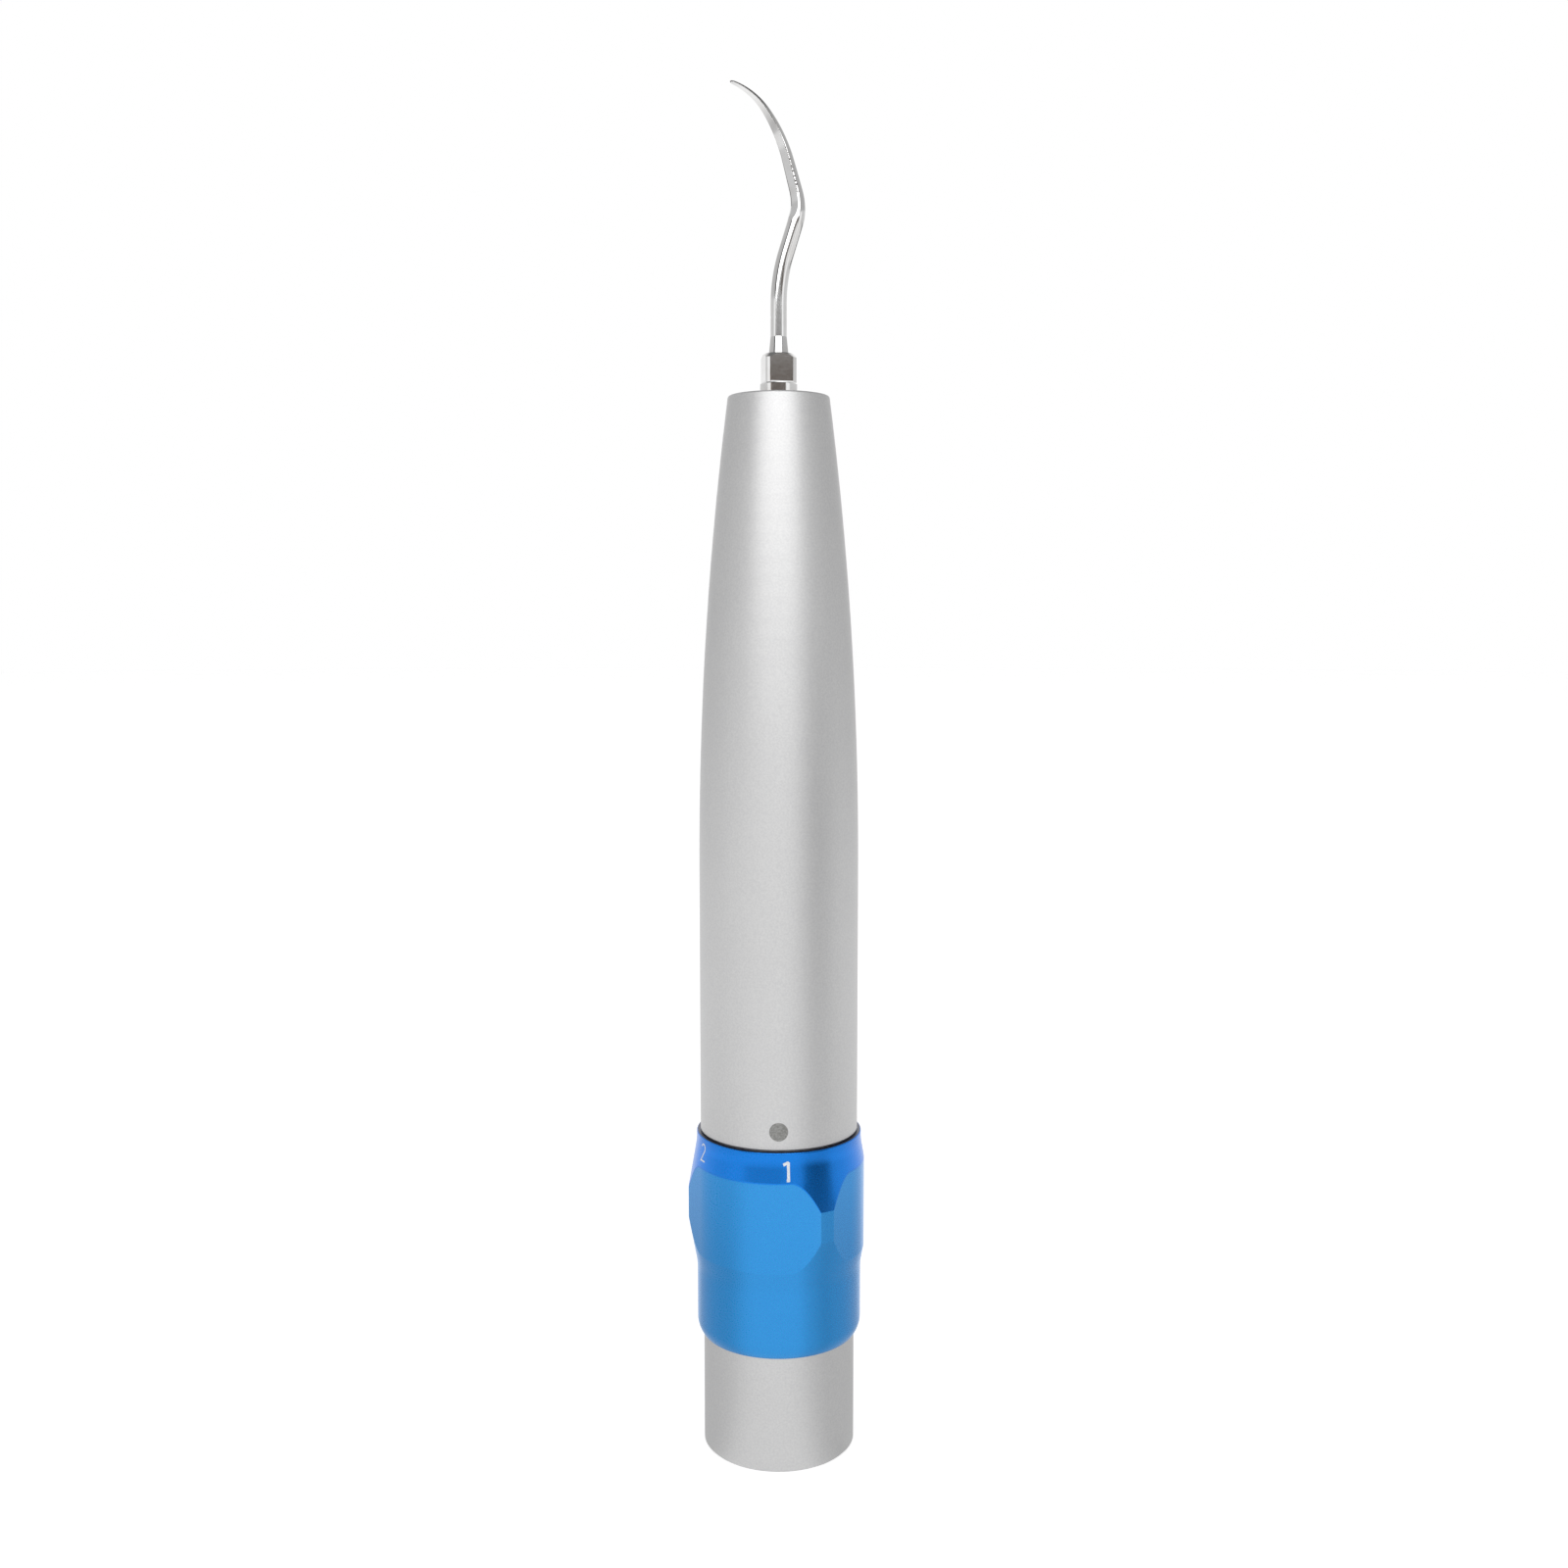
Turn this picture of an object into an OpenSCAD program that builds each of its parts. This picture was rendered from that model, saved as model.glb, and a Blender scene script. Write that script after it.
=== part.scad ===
// Air-driven scaler handpiece with a three-step power ring and a screwed-in sickle tip.
// Millimetres. The handpiece stands on the rim of its rear sleeve: z = 0 is that rim, +Z runs
// to the tip along the handle's axis, and -Y is the front, where the index dot is.
// Azimuths are counted in degrees from the front towards +X.

/* [Rear sleeve] */
// Outer diameter of the rear sleeve
sleeve_d = 16; // [15.8:0.1:16.2]
// Length of the sleeve that shows below the power ring
sleeve_show = 12.4; // [11:0.1:14]
// Wall of the sleeve below the ring
sleeve_wall = 1.4; // [1.3:0.05:1.6]
// Step down from the sleeve's outside to the journal that the ring turns on
journal_step = 0.4; // [0.3:0.05:0.5]
// Height of the sleeve's shoulder above the ring's lower edge
shoulder_rise = 7.7; // [7.5:0.1:8]
// Step down from the journal to the thread that holds the handle
thread_step = 0.4; // [0.3:0.05:0.5]
// Length of the thread that holds the handle
thread_len = 8.5; // [7:0.5:10]
// Inward lip at the rear rim that the valve core rests on
lip_depth = 0.4; // [0.3:0.1:0.6]
// Thickness of that lip
lip_t = 0.8; // [0.6:0.1:1.2]
// Edge break at the rear rim
rim_break = 0.3; // [0.1:0.05:0.5]

/* [Power ring] */
// Height of the ring's surface over the rear sleeve's
ring_over = 0.68; // [0.6:0.02:0.8]
// Length of the ring
ring_len = 21.8; // [21.5:0.1:23]
// Rise of the three ribs over the ring's surface
rib_rise = 0.92; // [0.8:0.02:1.1]
// Rise of the pads between the ribs over the ring's surface
pad_rise = 0.35; // [0.3:0.01:0.4]
// Width of a rib in degrees
rib_angle = 9.4; // [9:0.2:12]
// Azimuth of the first rib
rib_azimuth = 31.3; // [20:0.1:40]
// Start of the lower flank above the ring's lower edge
flank_low = 7.4; // [7:0.1:9]
// Lower end of the ribs' full height above the ring's lower edge
rib_low = 12.3; // [11.5:0.1:13]
// Length of the ribs at full height
rib_len = 3.25; // [2.5:0.05:4]
// Length of the upper flank
flank_high_len = 5.2; // [4.5:0.05:5.5]
// Radius that leads the flanks out of the ring's cylinder
flank_blend = 7; // [4:0.5:10]
// Height of the rounding at the ring's lower edge
edge_round_h = 1.45; // [1:0.05:2]
// Depth of the rounding at the ring's lower edge
edge_round_depth = 0.48; // [0.3:0.02:0.5]
// Rounding at the ring's upper edge
ring_rim_round = 0.15; // [0.1:0.01:0.2]
// Depth that the handle's tail reaches into the ring
ring_overlap = 1.6; // [1.4:0.1:2.2]
// Thickness of the glide washer between ring and handle
washer_t = 0.25; // [0.2:0.05:0.3]

/* [Power steps] */
// Number of power steps
steps = 3; // [2:1:3]
// Turn of the ring from one step to the next in degrees
step_turn = 72; // [60:1:72]
// Height of the key screw above the ring's lower edge
key_rise = 13.9; // [13.7:0.1:14.2]
// Azimuth of the key screw at step one
key_azimuth = 151.3; // [148:0.1:154]
// Diameter of the key screw
key_d = 1.2; // [1:0.1:1.3]
// Gap between the key screw's end and the core's neck
key_end_gap = 0.43; // [0.4:0.01:0.5]
// Depth of the key screw's head below the rib
key_sink = 0.3; // [0.1:0.1:0.5]
// Diameter of the detent ball
ball_d = 1.5; // [1.3:0.1:1.6]
// Depth that the ball clicks into the ring
ball_click = 0.25; // [0.2:0.05:0.3]
// Inward travel of the ball between two steps
ball_travel = 0.3; // [0.3:0.05:0.4]
// Drop of the detent ball below the sleeve's shoulder
detent_drop = 2.5; // [2:0.1:3]
// Azimuth of the detent ball
detent_azimuth = 330; // [325:1:335]
// Depth of the detent's hole in the core
detent_depth = 2.58; // [2.4:0.02:2.8]
// Wire diameter of the detent spring
spring_wire = 0.2; // [0.15:0.05:0.25]
// Outer diameter of the detent spring
spring_d = 1.2; // [1:0.1:1.3]
// Turns of the detent spring
spring_turns = 5; // [4:1:6]

/* [Coupling socket] */
// Wall of the core around the socket's wide part
core_wall = 1.08; // [0.9:0.02:1.2]
// Depth of the socket's wide part from the rim
socket_depth = 13; // [12:0.5:14]
// Wall between the exhaust passage and the groove of the socket's O-ring
passage_wall = 0.18; // [0.1:0.02:0.3]
// Length of the socket's air part
air_socket_len = 7; // [6:0.5:7.5]
// Bore of the socket's water part
water_socket_d = 2.8; // [2.4:0.1:3.2]
// Length of the socket's water part
water_socket_len = 4; // [3.5:0.5:4]
// Height of the latch groove's centre above the rim
latch_rise = 3; // [2.6:0.2:4]
// Width of the latch groove
latch_w = 1.2; // [1:0.1:1.4]
// Depth of the latch groove
latch_depth = 0.4; // [0.3:0.05:0.5]
// Section of the two socket O-rings
socket_seal = 0.5; // [0.4:0.05:0.6]
// Distance of an O-ring's centre from the mouth of its socket part
socket_seal_offset = 0.9; // [0.8:0.1:1.2]

/* [Valve] */
// Wall of the throttle sleeve
throttle_wall = 1.17; // [1.1:0.01:1.3]
// Length of the throttle sleeve
throttle_len = 9.4; // [9:0.1:9.6]
// Radial gap between the throttle sleeve and the rear sleeve
throttle_gap = 0.2; // [0.15:0.05:0.3]
// Depth of the three metering grooves, from the strongest step to the weakest
groove_depths = [0.7, 0.5, 0.3];
// Width of the metering grooves
groove_w = 1.1; // [0.8:0.1:1.3]
// Half length of the metering grooves
groove_reach = 2.9; // [2.7:0.1:3]
// Distance of the two air ports from the middle of the throttle sleeve
port_reach = 2.2; // [2:0.1:2.3]
// Azimuth of the air passage
air_azimuth = 60; // [55:1:65]
// Wall between the exhaust passage and the grooves of the neck's O-rings
neck_wall = 0.14; // [0.1:0.01:0.2]
// Diameter of the air passage
air_d = 1; // [0.8:0.1:1]
// Diameter of the exhaust passage
exhaust_d = 1.2; // [1:0.1:1.3]
// Radial room around the water tube in its passage
water_room = 0.05; // [0.04:0.01:0.1]
// Section of the two O-rings on the neck
neck_seal = 0.54; // [0.5:0.02:0.56]
// Distance of the neck's O-rings from the middle of the throttle sleeve
neck_seal_reach = 3.8; // [3.7:0.1:3.9]
// Thickness of the gasket in front of the neck
gasket_t = 0.4; // [0.3:0.1:0.6]
// Thickness of the air manifold
manifold_t = 3; // [2.5:0.1:3.5]
// Shank diameter of the manifold screws
screw_d = 1; // [0.9:0.1:1.1]
// Head diameter of the manifold screws
screw_head_d = 1.9; // [1.6:0.1:2]
// Head height of the manifold screws
screw_head_h = 0.8; // [0.6:0.1:1]
// Reach of the manifold screws into the neck
screw_depth = 2.2; // [2:0.1:2.4]
// Distance of the manifold screws' centres from the neck's edge
screw_edge = 1.7; // [1.5:0.1:1.9]
// Width of the slots in the screws' heads
screw_slot_w = 0.3; // [0.2:0.05:0.35]
// Depth of the slots in the screws' heads
screw_slot_depth = 0.3; // [0.2:0.05:0.4]
// Diameter of the dowel pin that stops the core from turning
dowel_d = 1; // [0.8:0.1:1.2]
// Height of the dowel pin above the ring's lower edge
dowel_rise = 2.8; // [2.5:0.1:3.5]
// Azimuth of the dowel pin
dowel_azimuth = 150; // [140:1:160]
// Depth of the dowel pin's hole in the core
dowel_depth = 0.83; // [0.7:0.01:1]

/* [Handle] */
// Height of the handle's surface over the rear sleeve's
handle_over = 0.28; // [0.2:0.02:0.36]
// Step down from the handle's surface to its tail inside the ring
tail_step = 0.2; // [0.15:0.01:0.25]
// Length of the handle from its tail to its nose
handle_len = 77.6; // [76:0.2:80]
// Length of the curved taper behind the nose
taper_len = 48.2; // [46:0.2:50]
// Radius of the curved taper
taper_r = 375; // [365:1:400]
// Rounding at the nose edge
nose_round = 0.15; // [0.1:0.05:0.3]
// Counterbore at the tail that takes the end of the sleeve's journal
tail_bore_len = 0.4; // [0.3:0.1:0.6]
// Step from the handle's thread down to its wide bore
main_bore_step = 0.3; // [0.2:0.05:0.35]
// Step in the handle's bore that the cartridge rests on
handle_step = 0.4; // [0.3:0.1:0.5]
// Room around the cartridge at the front end of the handle's inner cone
cone_room = 1; // [0.8:0.1:1.2]
// Length of the seat that guides the cartridge's front end
seat_len = 8; // [7:0.5:10]
// Thickness of the web behind the nose bush
web_t = 2; // [1.6:0.1:2.4]
// Step from the nose bush's bore to the web's
web_bore_step = 0.2; // [0.1:0.05:0.4]
// Wall of the nose bush
nose_bush_wall = 1.3; // [1.2:0.05:1.5]
// Radial gap between the nose bush and the collar
nose_gap = 0.385; // [0.35:0.005:0.5]
// Depth of the nose bush's seat
nose_bush_t = 2.2; // [2:0.1:2.4]
// Diameter of the index dot
dot_d = 1.9; // [1.6:0.1:2.2]
// Depth of the index dot's recess
dot_t = 0.15; // [0.1:0.05:0.2]
// Height of the index dot above the ring's upper rim
dot_rise = 2.05; // [1.8:0.05:2.5]
// Section of the O-ring between sleeve and handle
body_seal = 0.4; // [0.3:0.05:0.4]

/* [Cartridge] */
// Outer diameter of the cartridge tube
cartridge_d = 8.6; // [8.4:0.1:8.8]
// Wall of the cartridge tube
cartridge_wall = 1; // [0.9:0.05:1.1]
// Length of the cartridge tube
cartridge_len = 41; // [40.5:0.1:41.5]
// Thickness of the cartridge's flange
flange_t = 2; // [1.5:0.1:2.5]
// Thickness of the cartridge's front wall
front_wall_t = 2.5; // [2:0.1:2.8]
// Thickness of the cartridge cap
cap_t = 2.5; // [2.4:0.1:3]
// Wall of the cap's nozzle, which is as thick as the vibrator's shaft
nozzle_wall = 0.6; // [0.5:0.05:0.7]
// Length of the cap's nozzle
nozzle_len = 1.8; // [1.5:0.1:2]
// Thickness of the clamp nut
nut_t = 2.5; // [2:0.1:3.5]
// Depth of the two key slots in the clamp nut
nut_slot = 1; // [0.8:0.1:1.2]
// Number of exhaust holes through flange and cap
vents = 4; // [3:1:5]
// Diameter of an exhaust hole
vent_d = 1.2; // [1:0.1:1.2]
// Margin between the exhaust holes and the cartridge's wall and the clamp nut
vent_margin = 0.1; // [0.05:0.05:0.15]
// Outer diameter of the drive air tube
air_tube_d = 1.8; // [1.6:0.1:1.8]
// Wall of the drive air tube
air_tube_wall = 0.35; // [0.3:0.05:0.4]
// Depth that the drive air tube enters its seats
air_tube_depth = 1.4; // [1:0.1:1.4]
// Outer diameter of the water tube
water_tube_d = 0.8; // [0.7:0.02:0.9]
// Wall of the water tube
water_tube_wall = 0.15; // [0.1:0.01:0.2]
// Room between the flexible air sleeve and what it joins
flex_room = 0.06; // [0.04:0.01:0.1]
// Wall of the flexible air sleeve
flex_wall = 0.54; // [0.4:0.02:0.6]
// Length of the flexible air sleeve
flex_len = 5; // [4.5:0.1:5.5]

/* [Vibrator] */
// Diameter of the vibrator's shaft
shaft_d = 3.2; // [3:0.1:3.2]
// Gap between the cap's nozzle and the vibrator's rear end
nozzle_gap = 0.22; // [0.15:0.01:0.4]
// Bore of the vibrator for air and the water tube
shaft_bore_d = 1.6; // [1.5:0.05:1.7]
// Diameter of the collar that shows at the nose
collar_d = 3.83; // [3.6:0.01:4]
// Length of the collar
collar_len = 1.9; // [1.6:0.1:2.4]
// Length of the collar that shows in front of the nose
collar_show = 1.2; // [1:0.1:1.5]
// Distance of the front damper's middle from the collar's face
front_damper_offset = 12; // [11:0.5:13]
// Distance of the rear damper's middle from the vibrator's rear end
rear_damper_offset = 7.2; // [6.5:0.1:8]
// Length of a rubber damper
damper_len = 2.6; // [2:0.1:3]
// Rise of the flanges beside the dampers over the shaft
flange_rise = 0.8; // [0.6:0.1:1]
// Thickness of the flanges
shaft_flange_t = 0.8; // [0.6:0.1:1]
// Rise of the rotor's journal over the shaft
rotor_journal_rise = 0.15; // [0.1:0.01:0.2]
// Wall of the rotor ring
rotor_wall = 0.89; // [0.7:0.01:1]
// Length of the rotor ring
rotor_len = 5; // [4:0.1:6]
// Thickness of the circlip in front of the rotor ring
circlip_t = 0.5; // [0.4:0.05:0.6]
// Rise of the circlip over the rotor's journal
circlip_rise = 0.5; // [0.4:0.05:0.6]
// Number of oblique drive jets
jets = 4; // [2:1:6]
// Diameter of a drive jet
jet_d = 0.4; // [0.3:0.05:0.5]
// Wall of the vibrator around the tip's thread
thread_wall = 0.35; // [0.3:0.01:0.45]
// Depth of the tip's thread in the vibrator
tip_thread_depth = 6.4; // [6:0.1:7]
// Thickness of the water seal behind the tip
water_seal_t = 0.6; // [0.5:0.05:0.7]

/* [Tip] */
// Distance across the flats of the tip's square base
square_w = 3.18; // [3.1:0.01:3.3]
// Turned diameter of the square base's corners
square_turned_d = 3.94; // [3.7:0.01:4.1]
// Height of the square base
square_h = 3; // [2.8:0.1:3.4]
// Height of the chamfer on top of the square base
square_chamfer = 0.45; // [0.3:0.05:0.6]
// Edge break at the foot of the square base
square_edge = 0.08; // [0.05:0.01:0.12]
// Turn of the square base in degrees
square_turn = 13; // [0:1:45]
// Diameter of the shank's root on the square base
root_d = 2.03; // [1.9:0.01:2.2]
// Height over which the root runs into the shank
root_h = 1.7; // [1.4:0.1:2]
// Depth that the root's narrow end lies inside the shank
root_sink = 0.06; // [0.04:0.01:0.1]
// Diameter of the round shank
shank_d = 1.66; // [1.5:0.01:1.8]
// Width of the blade where it leaves the shank
blade_w = 1.4; // [1.3:0.01:1.5]
// Width of the blade at its end, before the rounded point
blade_end_w = 0.35; // [0.25:0.01:0.45]
// Thickness of the blade as a share of its width
blade_flat = 0.8; // [0.6:0.05:1]
// Length of the straight shank above the square base
shank_len = 5; // [4:0.1:6]
// Length of the first bend, which leans away from the point
lean_len = 5.1; // [4.5:0.1:6]
// Turn of the first bend in degrees
lean_turn = 17.5; // [15:0.1:20]
// Length of the straight stretch after the first bend
lean_run = 2.8; // [2.2:0.1:3.4]
// Length of the second bend, which comes back over the axis
back_len = 3.5; // [3:0.1:4.2]
// Turn of the second bend in degrees
back_turn = 33; // [30:0.1:36]
// Length of the straight stretch after the second bend
back_run = 3; // [2.4:0.1:3.4]
// Length of the blade's gentle curve
sickle_len = 5.3; // [4.8:0.1:5.8]
// Turn of the blade's gentle curve in degrees
sickle_turn = 18; // [15:0.5:20]
// Length of the blade's hook up to the point
hook_len = 4.6; // [4:0.1:5]
// Turn of the blade's hook in degrees
hook_turn = 35.5; // [32:0.5:40]
// Distance along the tip where the shank starts to flatten
mill_start = 13.2; // [12:0.1:14]
// Length over which the shank turns into the blade
mill_len = 3.8; // [3:0.1:5]
// Length of the rounded point
point_len = 0.5; // [0.3:0.05:0.8]
// Diameter of the water channel in the tip
channel_d = 0.5; // [0.4:0.05:0.6]
// Height of the water outlet above the square base
outlet_rise = 3.2; // [2.8:0.1:4]

/* [Clearances] */
// Radial running clearance of turning and sliding pieces
run_gap = 0.03; // [0.02:0.005:0.05]
// Axial running clearance of turning pieces
end_gap = 0.05; // [0.03:0.01:0.08]
// Clearance between pieces that are seated on each other
seat_gap = 0.02; // [0.01:0.005:0.03]
// Radial clearance around the key screw in the sleeve's slot
slot_gap = 0.15; // [0.1:0.01:0.2]
// Radial clearance of the tip's thread
thread_gap = 0.05; // [0.03:0.01:0.08]
// Radial clearance of the rubber pieces around the vibrator
rubber_gap = 0.08; // [0.06:0.01:0.1]

/* [Hidden] */
$fn = 96;
// Overshoot of a cut beyond the face that it opens
cut = 1;

// Rear sleeve
sleeve_r = sleeve_d / 2;
bore_r = sleeve_r - sleeve_wall;
journal_r = sleeve_r - journal_step;
thread_r = journal_r - thread_step;
core_r = bore_r - seat_gap;
throttle_r = bore_r - throttle_gap;
neck_r = throttle_r - throttle_wall - run_gap;
ring_z0 = sleeve_show;
shoulder_z = ring_z0 + shoulder_rise;

// Power ring
ring_r = sleeve_r + ring_over;
rib_r = ring_r + rib_rise;
pad_r = ring_r + pad_rise;
ring_z1 = ring_z0 + ring_len;
handle_z0 = ring_z1 - ring_overlap;
washer_z0 = handle_z0 - seat_gap - washer_t;
counterbore_z = washer_z0 - end_gap;
rib_low_z = ring_z0 + rib_low;
rib_high_z = rib_low_z + rib_len;

// Power steps
turn_range = (steps - 1) * step_turn;
key_z = ring_z0 + key_rise;
key_r = key_d / 2;
key_tip_r = neck_r + key_end_gap;
ball_r = ball_d / 2;
ball_out_r = sleeve_r + run_gap + ball_click - ball_r;
ball_rest_r = ball_out_r - ball_travel;
detent_z = shoulder_z - detent_drop;
detent_hole_r = ball_r + end_gap;
detent_floor = core_r - detent_depth;

// Valve
socket_r = core_r - core_wall;
exhaust_r = exhaust_d / 2;
passage_r = neck_r - neck_seal - seat_gap - neck_wall - exhaust_r;
air_socket_r = passage_r - exhaust_r - passage_wall - socket_seal - seat_gap;
water_socket_r = water_socket_d / 2;
water_tube_r = water_tube_d / 2;
water_r = water_tube_r + water_room;
air_tube_r = air_tube_d / 2;
screw_place_r = neck_r - screw_edge;
dowel_floor = core_r - dowel_depth;
throttle_z0 = key_z - throttle_len / 2;
throttle_z1 = key_z + throttle_len / 2;
neck_z0 = throttle_z0 - end_gap;
manifold_z0 = throttle_z1 + end_gap;
neck_z1 = manifold_z0 - gasket_t;
manifold_z1 = manifold_z0 + manifold_t;
air_socket_z1 = socket_depth + air_socket_len;
water_socket_z1 = air_socket_z1 + water_socket_len;

// Handle
handle_r = sleeve_r + handle_over;
tail_r = handle_r - tail_step;
grip_z0 = ring_z1 + end_gap;
main_bore_r = thread_r - main_bore_step;
nose_z = handle_z0 + handle_len;
taper_z = nose_z - taper_len;
thread_z0 = handle_z0 + tail_bore_len;
thread_z1 = thread_z0 + thread_len;
seal_z = thread_z1 - 2 * body_seal;
dot_z = ring_z1 + dot_rise;

// Cartridge, from the nose backwards
seat_z1 = nose_z - nose_bush_t - web_t;
seat_z0 = seat_z1 - seat_len;
tube_z1 = seat_z1 - seat_gap;
tube_z0 = tube_z1 - cartridge_len;
flange_z1 = tube_z0 + flange_t;
cap_z0 = tube_z0 - seat_gap - cap_t;
nut_z1 = cap_z0 - seat_gap;
nut_z0 = nut_z1 - nut_t;
cartridge_r = cartridge_d / 2;
cartridge_bore_r = cartridge_r - cartridge_wall;
flange_r = main_bore_r - seat_gap;
nozzle_z1 = tube_z0 + nozzle_len;
vent_r = cartridge_r + vent_margin + vent_d / 2;
nut_bore_r = vent_r + vent_d / 2 + vent_margin;

// Vibrator, from the collar's face backwards
face_z = nose_z + collar_show;
shaft_z0 = nozzle_z1 + nozzle_gap;
shaft_r = shaft_d / 2;
collar_r = collar_d / 2;
nose_bore_r = collar_r + nose_gap;
nose_bush_r = nose_bore_r + nose_bush_wall;
web_bore_r = nose_bore_r + web_bore_step;
flex_bore_r = shaft_r + flex_room;
flange_out_r = shaft_r + flange_rise;
front_damper_z = face_z - front_damper_offset;
rear_damper_z = shaft_z0 + rear_damper_offset;
rotor_z = (rear_damper_z + front_damper_z) / 2;
rotor_journal_r = shaft_r + rotor_journal_rise;
rotor_bore_r = rotor_journal_r + 2 * run_gap;
rotor_r = rotor_bore_r + rotor_wall;
circlip_r = rotor_journal_r + circlip_rise;
rotor_z0 = rotor_z - rotor_len / 2;
rotor_z1 = rotor_z + rotor_len / 2;
tip_hole_z = face_z - tip_thread_depth;
tip_thread_r = shaft_r - thread_wall - thread_gap;
stub_z0 = tip_hole_z + water_seal_t + 2 * end_gap;

// Tip
square_z = face_z + seat_gap;
tip_z = square_z + square_h;
// Bends from the square base to the point: length and turn, positive to +X
tip_bends = [[shank_len, 0], [lean_len, lean_turn], [lean_run, 0], [back_len, -back_turn],
    [back_run, 0], [sickle_len, -sickle_turn], [hook_len, -hook_turn]];
tip_len = total([for (b = tip_bends) b[0]]);
tip_start = 0.7 * root_h;
// Sides and rings of the tip's swept shank and blade
tip_sides = 20;
tip_rings = 63;
// Sides of the detent spring's wire, and its rings in one turn
wire_sides = 6;
wire_rings = 12;

// Sum of a list
function total(v, i = 0) = i >= len(v) ? 0 : v[i] + total(v, i + 1);

// Points of an arc about [x, y], from angle a to angle b
function arc(x, y, r, a, b, n = 8) =
    [for (i = [0:n]) [x + r * cos(a + (b - a) * i / n), y + r * sin(a + (b - a) * i / n)]];

// Outer radius of the handle at height z
function handle_r_at(z) = z <= taper_z ? handle_r
    : handle_r - taper_r + sqrt(taper_r * taper_r - (z - taper_z) * (z - taper_z));

// Smooth step from 0 to 1
function smooth(t) = t <= 0 ? 0 : t >= 1 ? 1 : t * t * (3 - 2 * t);

// Turns children so that their +X looks to an azimuth
module at_azimuth(azimuth) {
    rotate([0, 0, azimuth - 90]) children();
}

// A straight round bar along Z
module bar(r, z0, z1) {
    translate([0, 0, z0]) cylinder(r = r, h = z1 - z0);
}

// A tube along Z
module tube(r_out, r_in, z0, z1) {
    difference() {
        bar(r_out, z0, z1);
        bar(r_in, z0 - cut, z1 + cut);
    }
}

// A round bar along the radius that looks to an azimuth
module radial_bar(r, azimuth, z, from, to) {
    at_azimuth(azimuth) translate([from, 0, z]) rotate([0, 90, 0]) cylinder(r = r, h = to - from);
}

// An O-ring about the axis
module o_ring(centre_r, z, section) {
    rotate_extrude() translate([centre_r, z]) circle(d = section);
}

// Copies around the axis
module around(n, start = 0) {
    for (i = [0:n - 1]) at_azimuth(start + i * 360 / n) children();
}

// ---------------------------------------------------------------- rear sleeve and its ring

// Turned sleeve: visible rear end, journal for the ring, thread for the handle
module rear_sleeve() color("silver") {
    slot_end = asin((key_r + slot_gap) / bore_r);
    slot_half = key_r + slot_gap;
    dowel_z = ring_z0 + dowel_rise;
    difference() {
        rotate_extrude() polygon([
            [bore_r - lip_depth, rim_break], [bore_r - lip_depth + rim_break, 0],
            [sleeve_r - rim_break, 0], [sleeve_r, rim_break], [sleeve_r, shoulder_z],
            [journal_r, shoulder_z], [journal_r, thread_z0], [thread_r, thread_z0],
            [thread_r, thread_z1], [bore_r, thread_z1], [bore_r, lip_t], [bore_r - lip_depth, lip_t]]);
        // Slot in which the key screw travels
        rotate([0, 0, key_azimuth - 90 - slot_end]) rotate_extrude(angle = turn_range + 2 * slot_end)
            translate([bore_r - cut, key_z - slot_half]) square([2 * cut + sleeve_wall, 2 * slot_half]);
        radial_bar(detent_hole_r, detent_azimuth, detent_z, bore_r - cut, sleeve_r + cut);
        radial_bar(dowel_d / 2 + seat_gap, dowel_azimuth, dowel_z, bore_r - cut, sleeve_r + cut);
        // Groove of the O-ring that seals the handle
        tube(thread_r + cut, thread_r - body_seal, seal_z - body_seal / 2 - seat_gap,
            seal_z + body_seal / 2 + seat_gap);
    }
}

// Outline of the ring seen along its axis: round pads joined to a flat-sided peak at each rib
module grip_outline() {
    half = rib_angle / 2 + acos(pad_r / rib_r);
    lean = 0.01; // keeps the flats from touching the pads' cylinder along a line only
    side = pad_r - lean;
    circle(r = pad_r);
    around(3, rib_azimuth) polygon([[0, 0], side * [cos(half), -sin(half)], [side / cos(half), 0],
        side * [cos(half), sin(half)]]);
}

// Turned outside of the ring: rounded lower edge, flanks that rise to the ribs, upper rim
module ring_profile() {
    round_r = (edge_round_depth * edge_round_depth + edge_round_h * edge_round_h) / (2 * edge_round_depth);
    round_a = asin(edge_round_h / round_r);
    low_a = atan((rib_r - ring_r) / (rib_low_z - ring_z0 - flank_low));
    high_a = atan((rib_r - ring_r) / flank_high_len);
    polygon(concat(
        [[bore_r, ring_z0]],
        arc(ring_r - round_r, ring_z0 + edge_round_h, round_r, -round_a, 0),
        arc(ring_r + flank_blend, ring_z0 + flank_low - flank_blend * tan(low_a / 2), flank_blend,
            180, 180 - low_a, 6),
        [[rib_r, rib_low_z], [rib_r, rib_high_z]],
        arc(ring_r + flank_blend, rib_high_z + flank_high_len + flank_blend * tan(high_a / 2),
            flank_blend, 180 + high_a, 180, 6),
        arc(ring_r - ring_rim_round, ring_z1 - ring_rim_round, ring_rim_round, 0, 90, 4),
        [[bore_r, ring_z1]]));
}

// Blue anodised power ring with three ribs, one detent dimple for each step
module power_ring() color([0.16, 0.47, 0.8]) difference() {
    intersection() {
        rotate_extrude() ring_profile();
        translate([0, 0, ring_z0 - cut]) linear_extrude(ring_len + 2 * cut) grip_outline();
    }
    bar(sleeve_r + run_gap, ring_z0 - cut, shoulder_z + end_gap);
    bar(journal_r + run_gap, ring_z0 - cut, ring_z1 + cut);
    bar(tail_r + 2 * run_gap, counterbore_z, ring_z1 + cut);
    radial_bar(key_r + seat_gap, key_azimuth, key_z, bore_r, rib_r + cut);
    for (i = [0:steps - 1]) at_azimuth(detent_azimuth - i * step_turn)
        translate([ball_out_r, 0, detent_z]) sphere(r = ball_r + end_gap);
}

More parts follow.
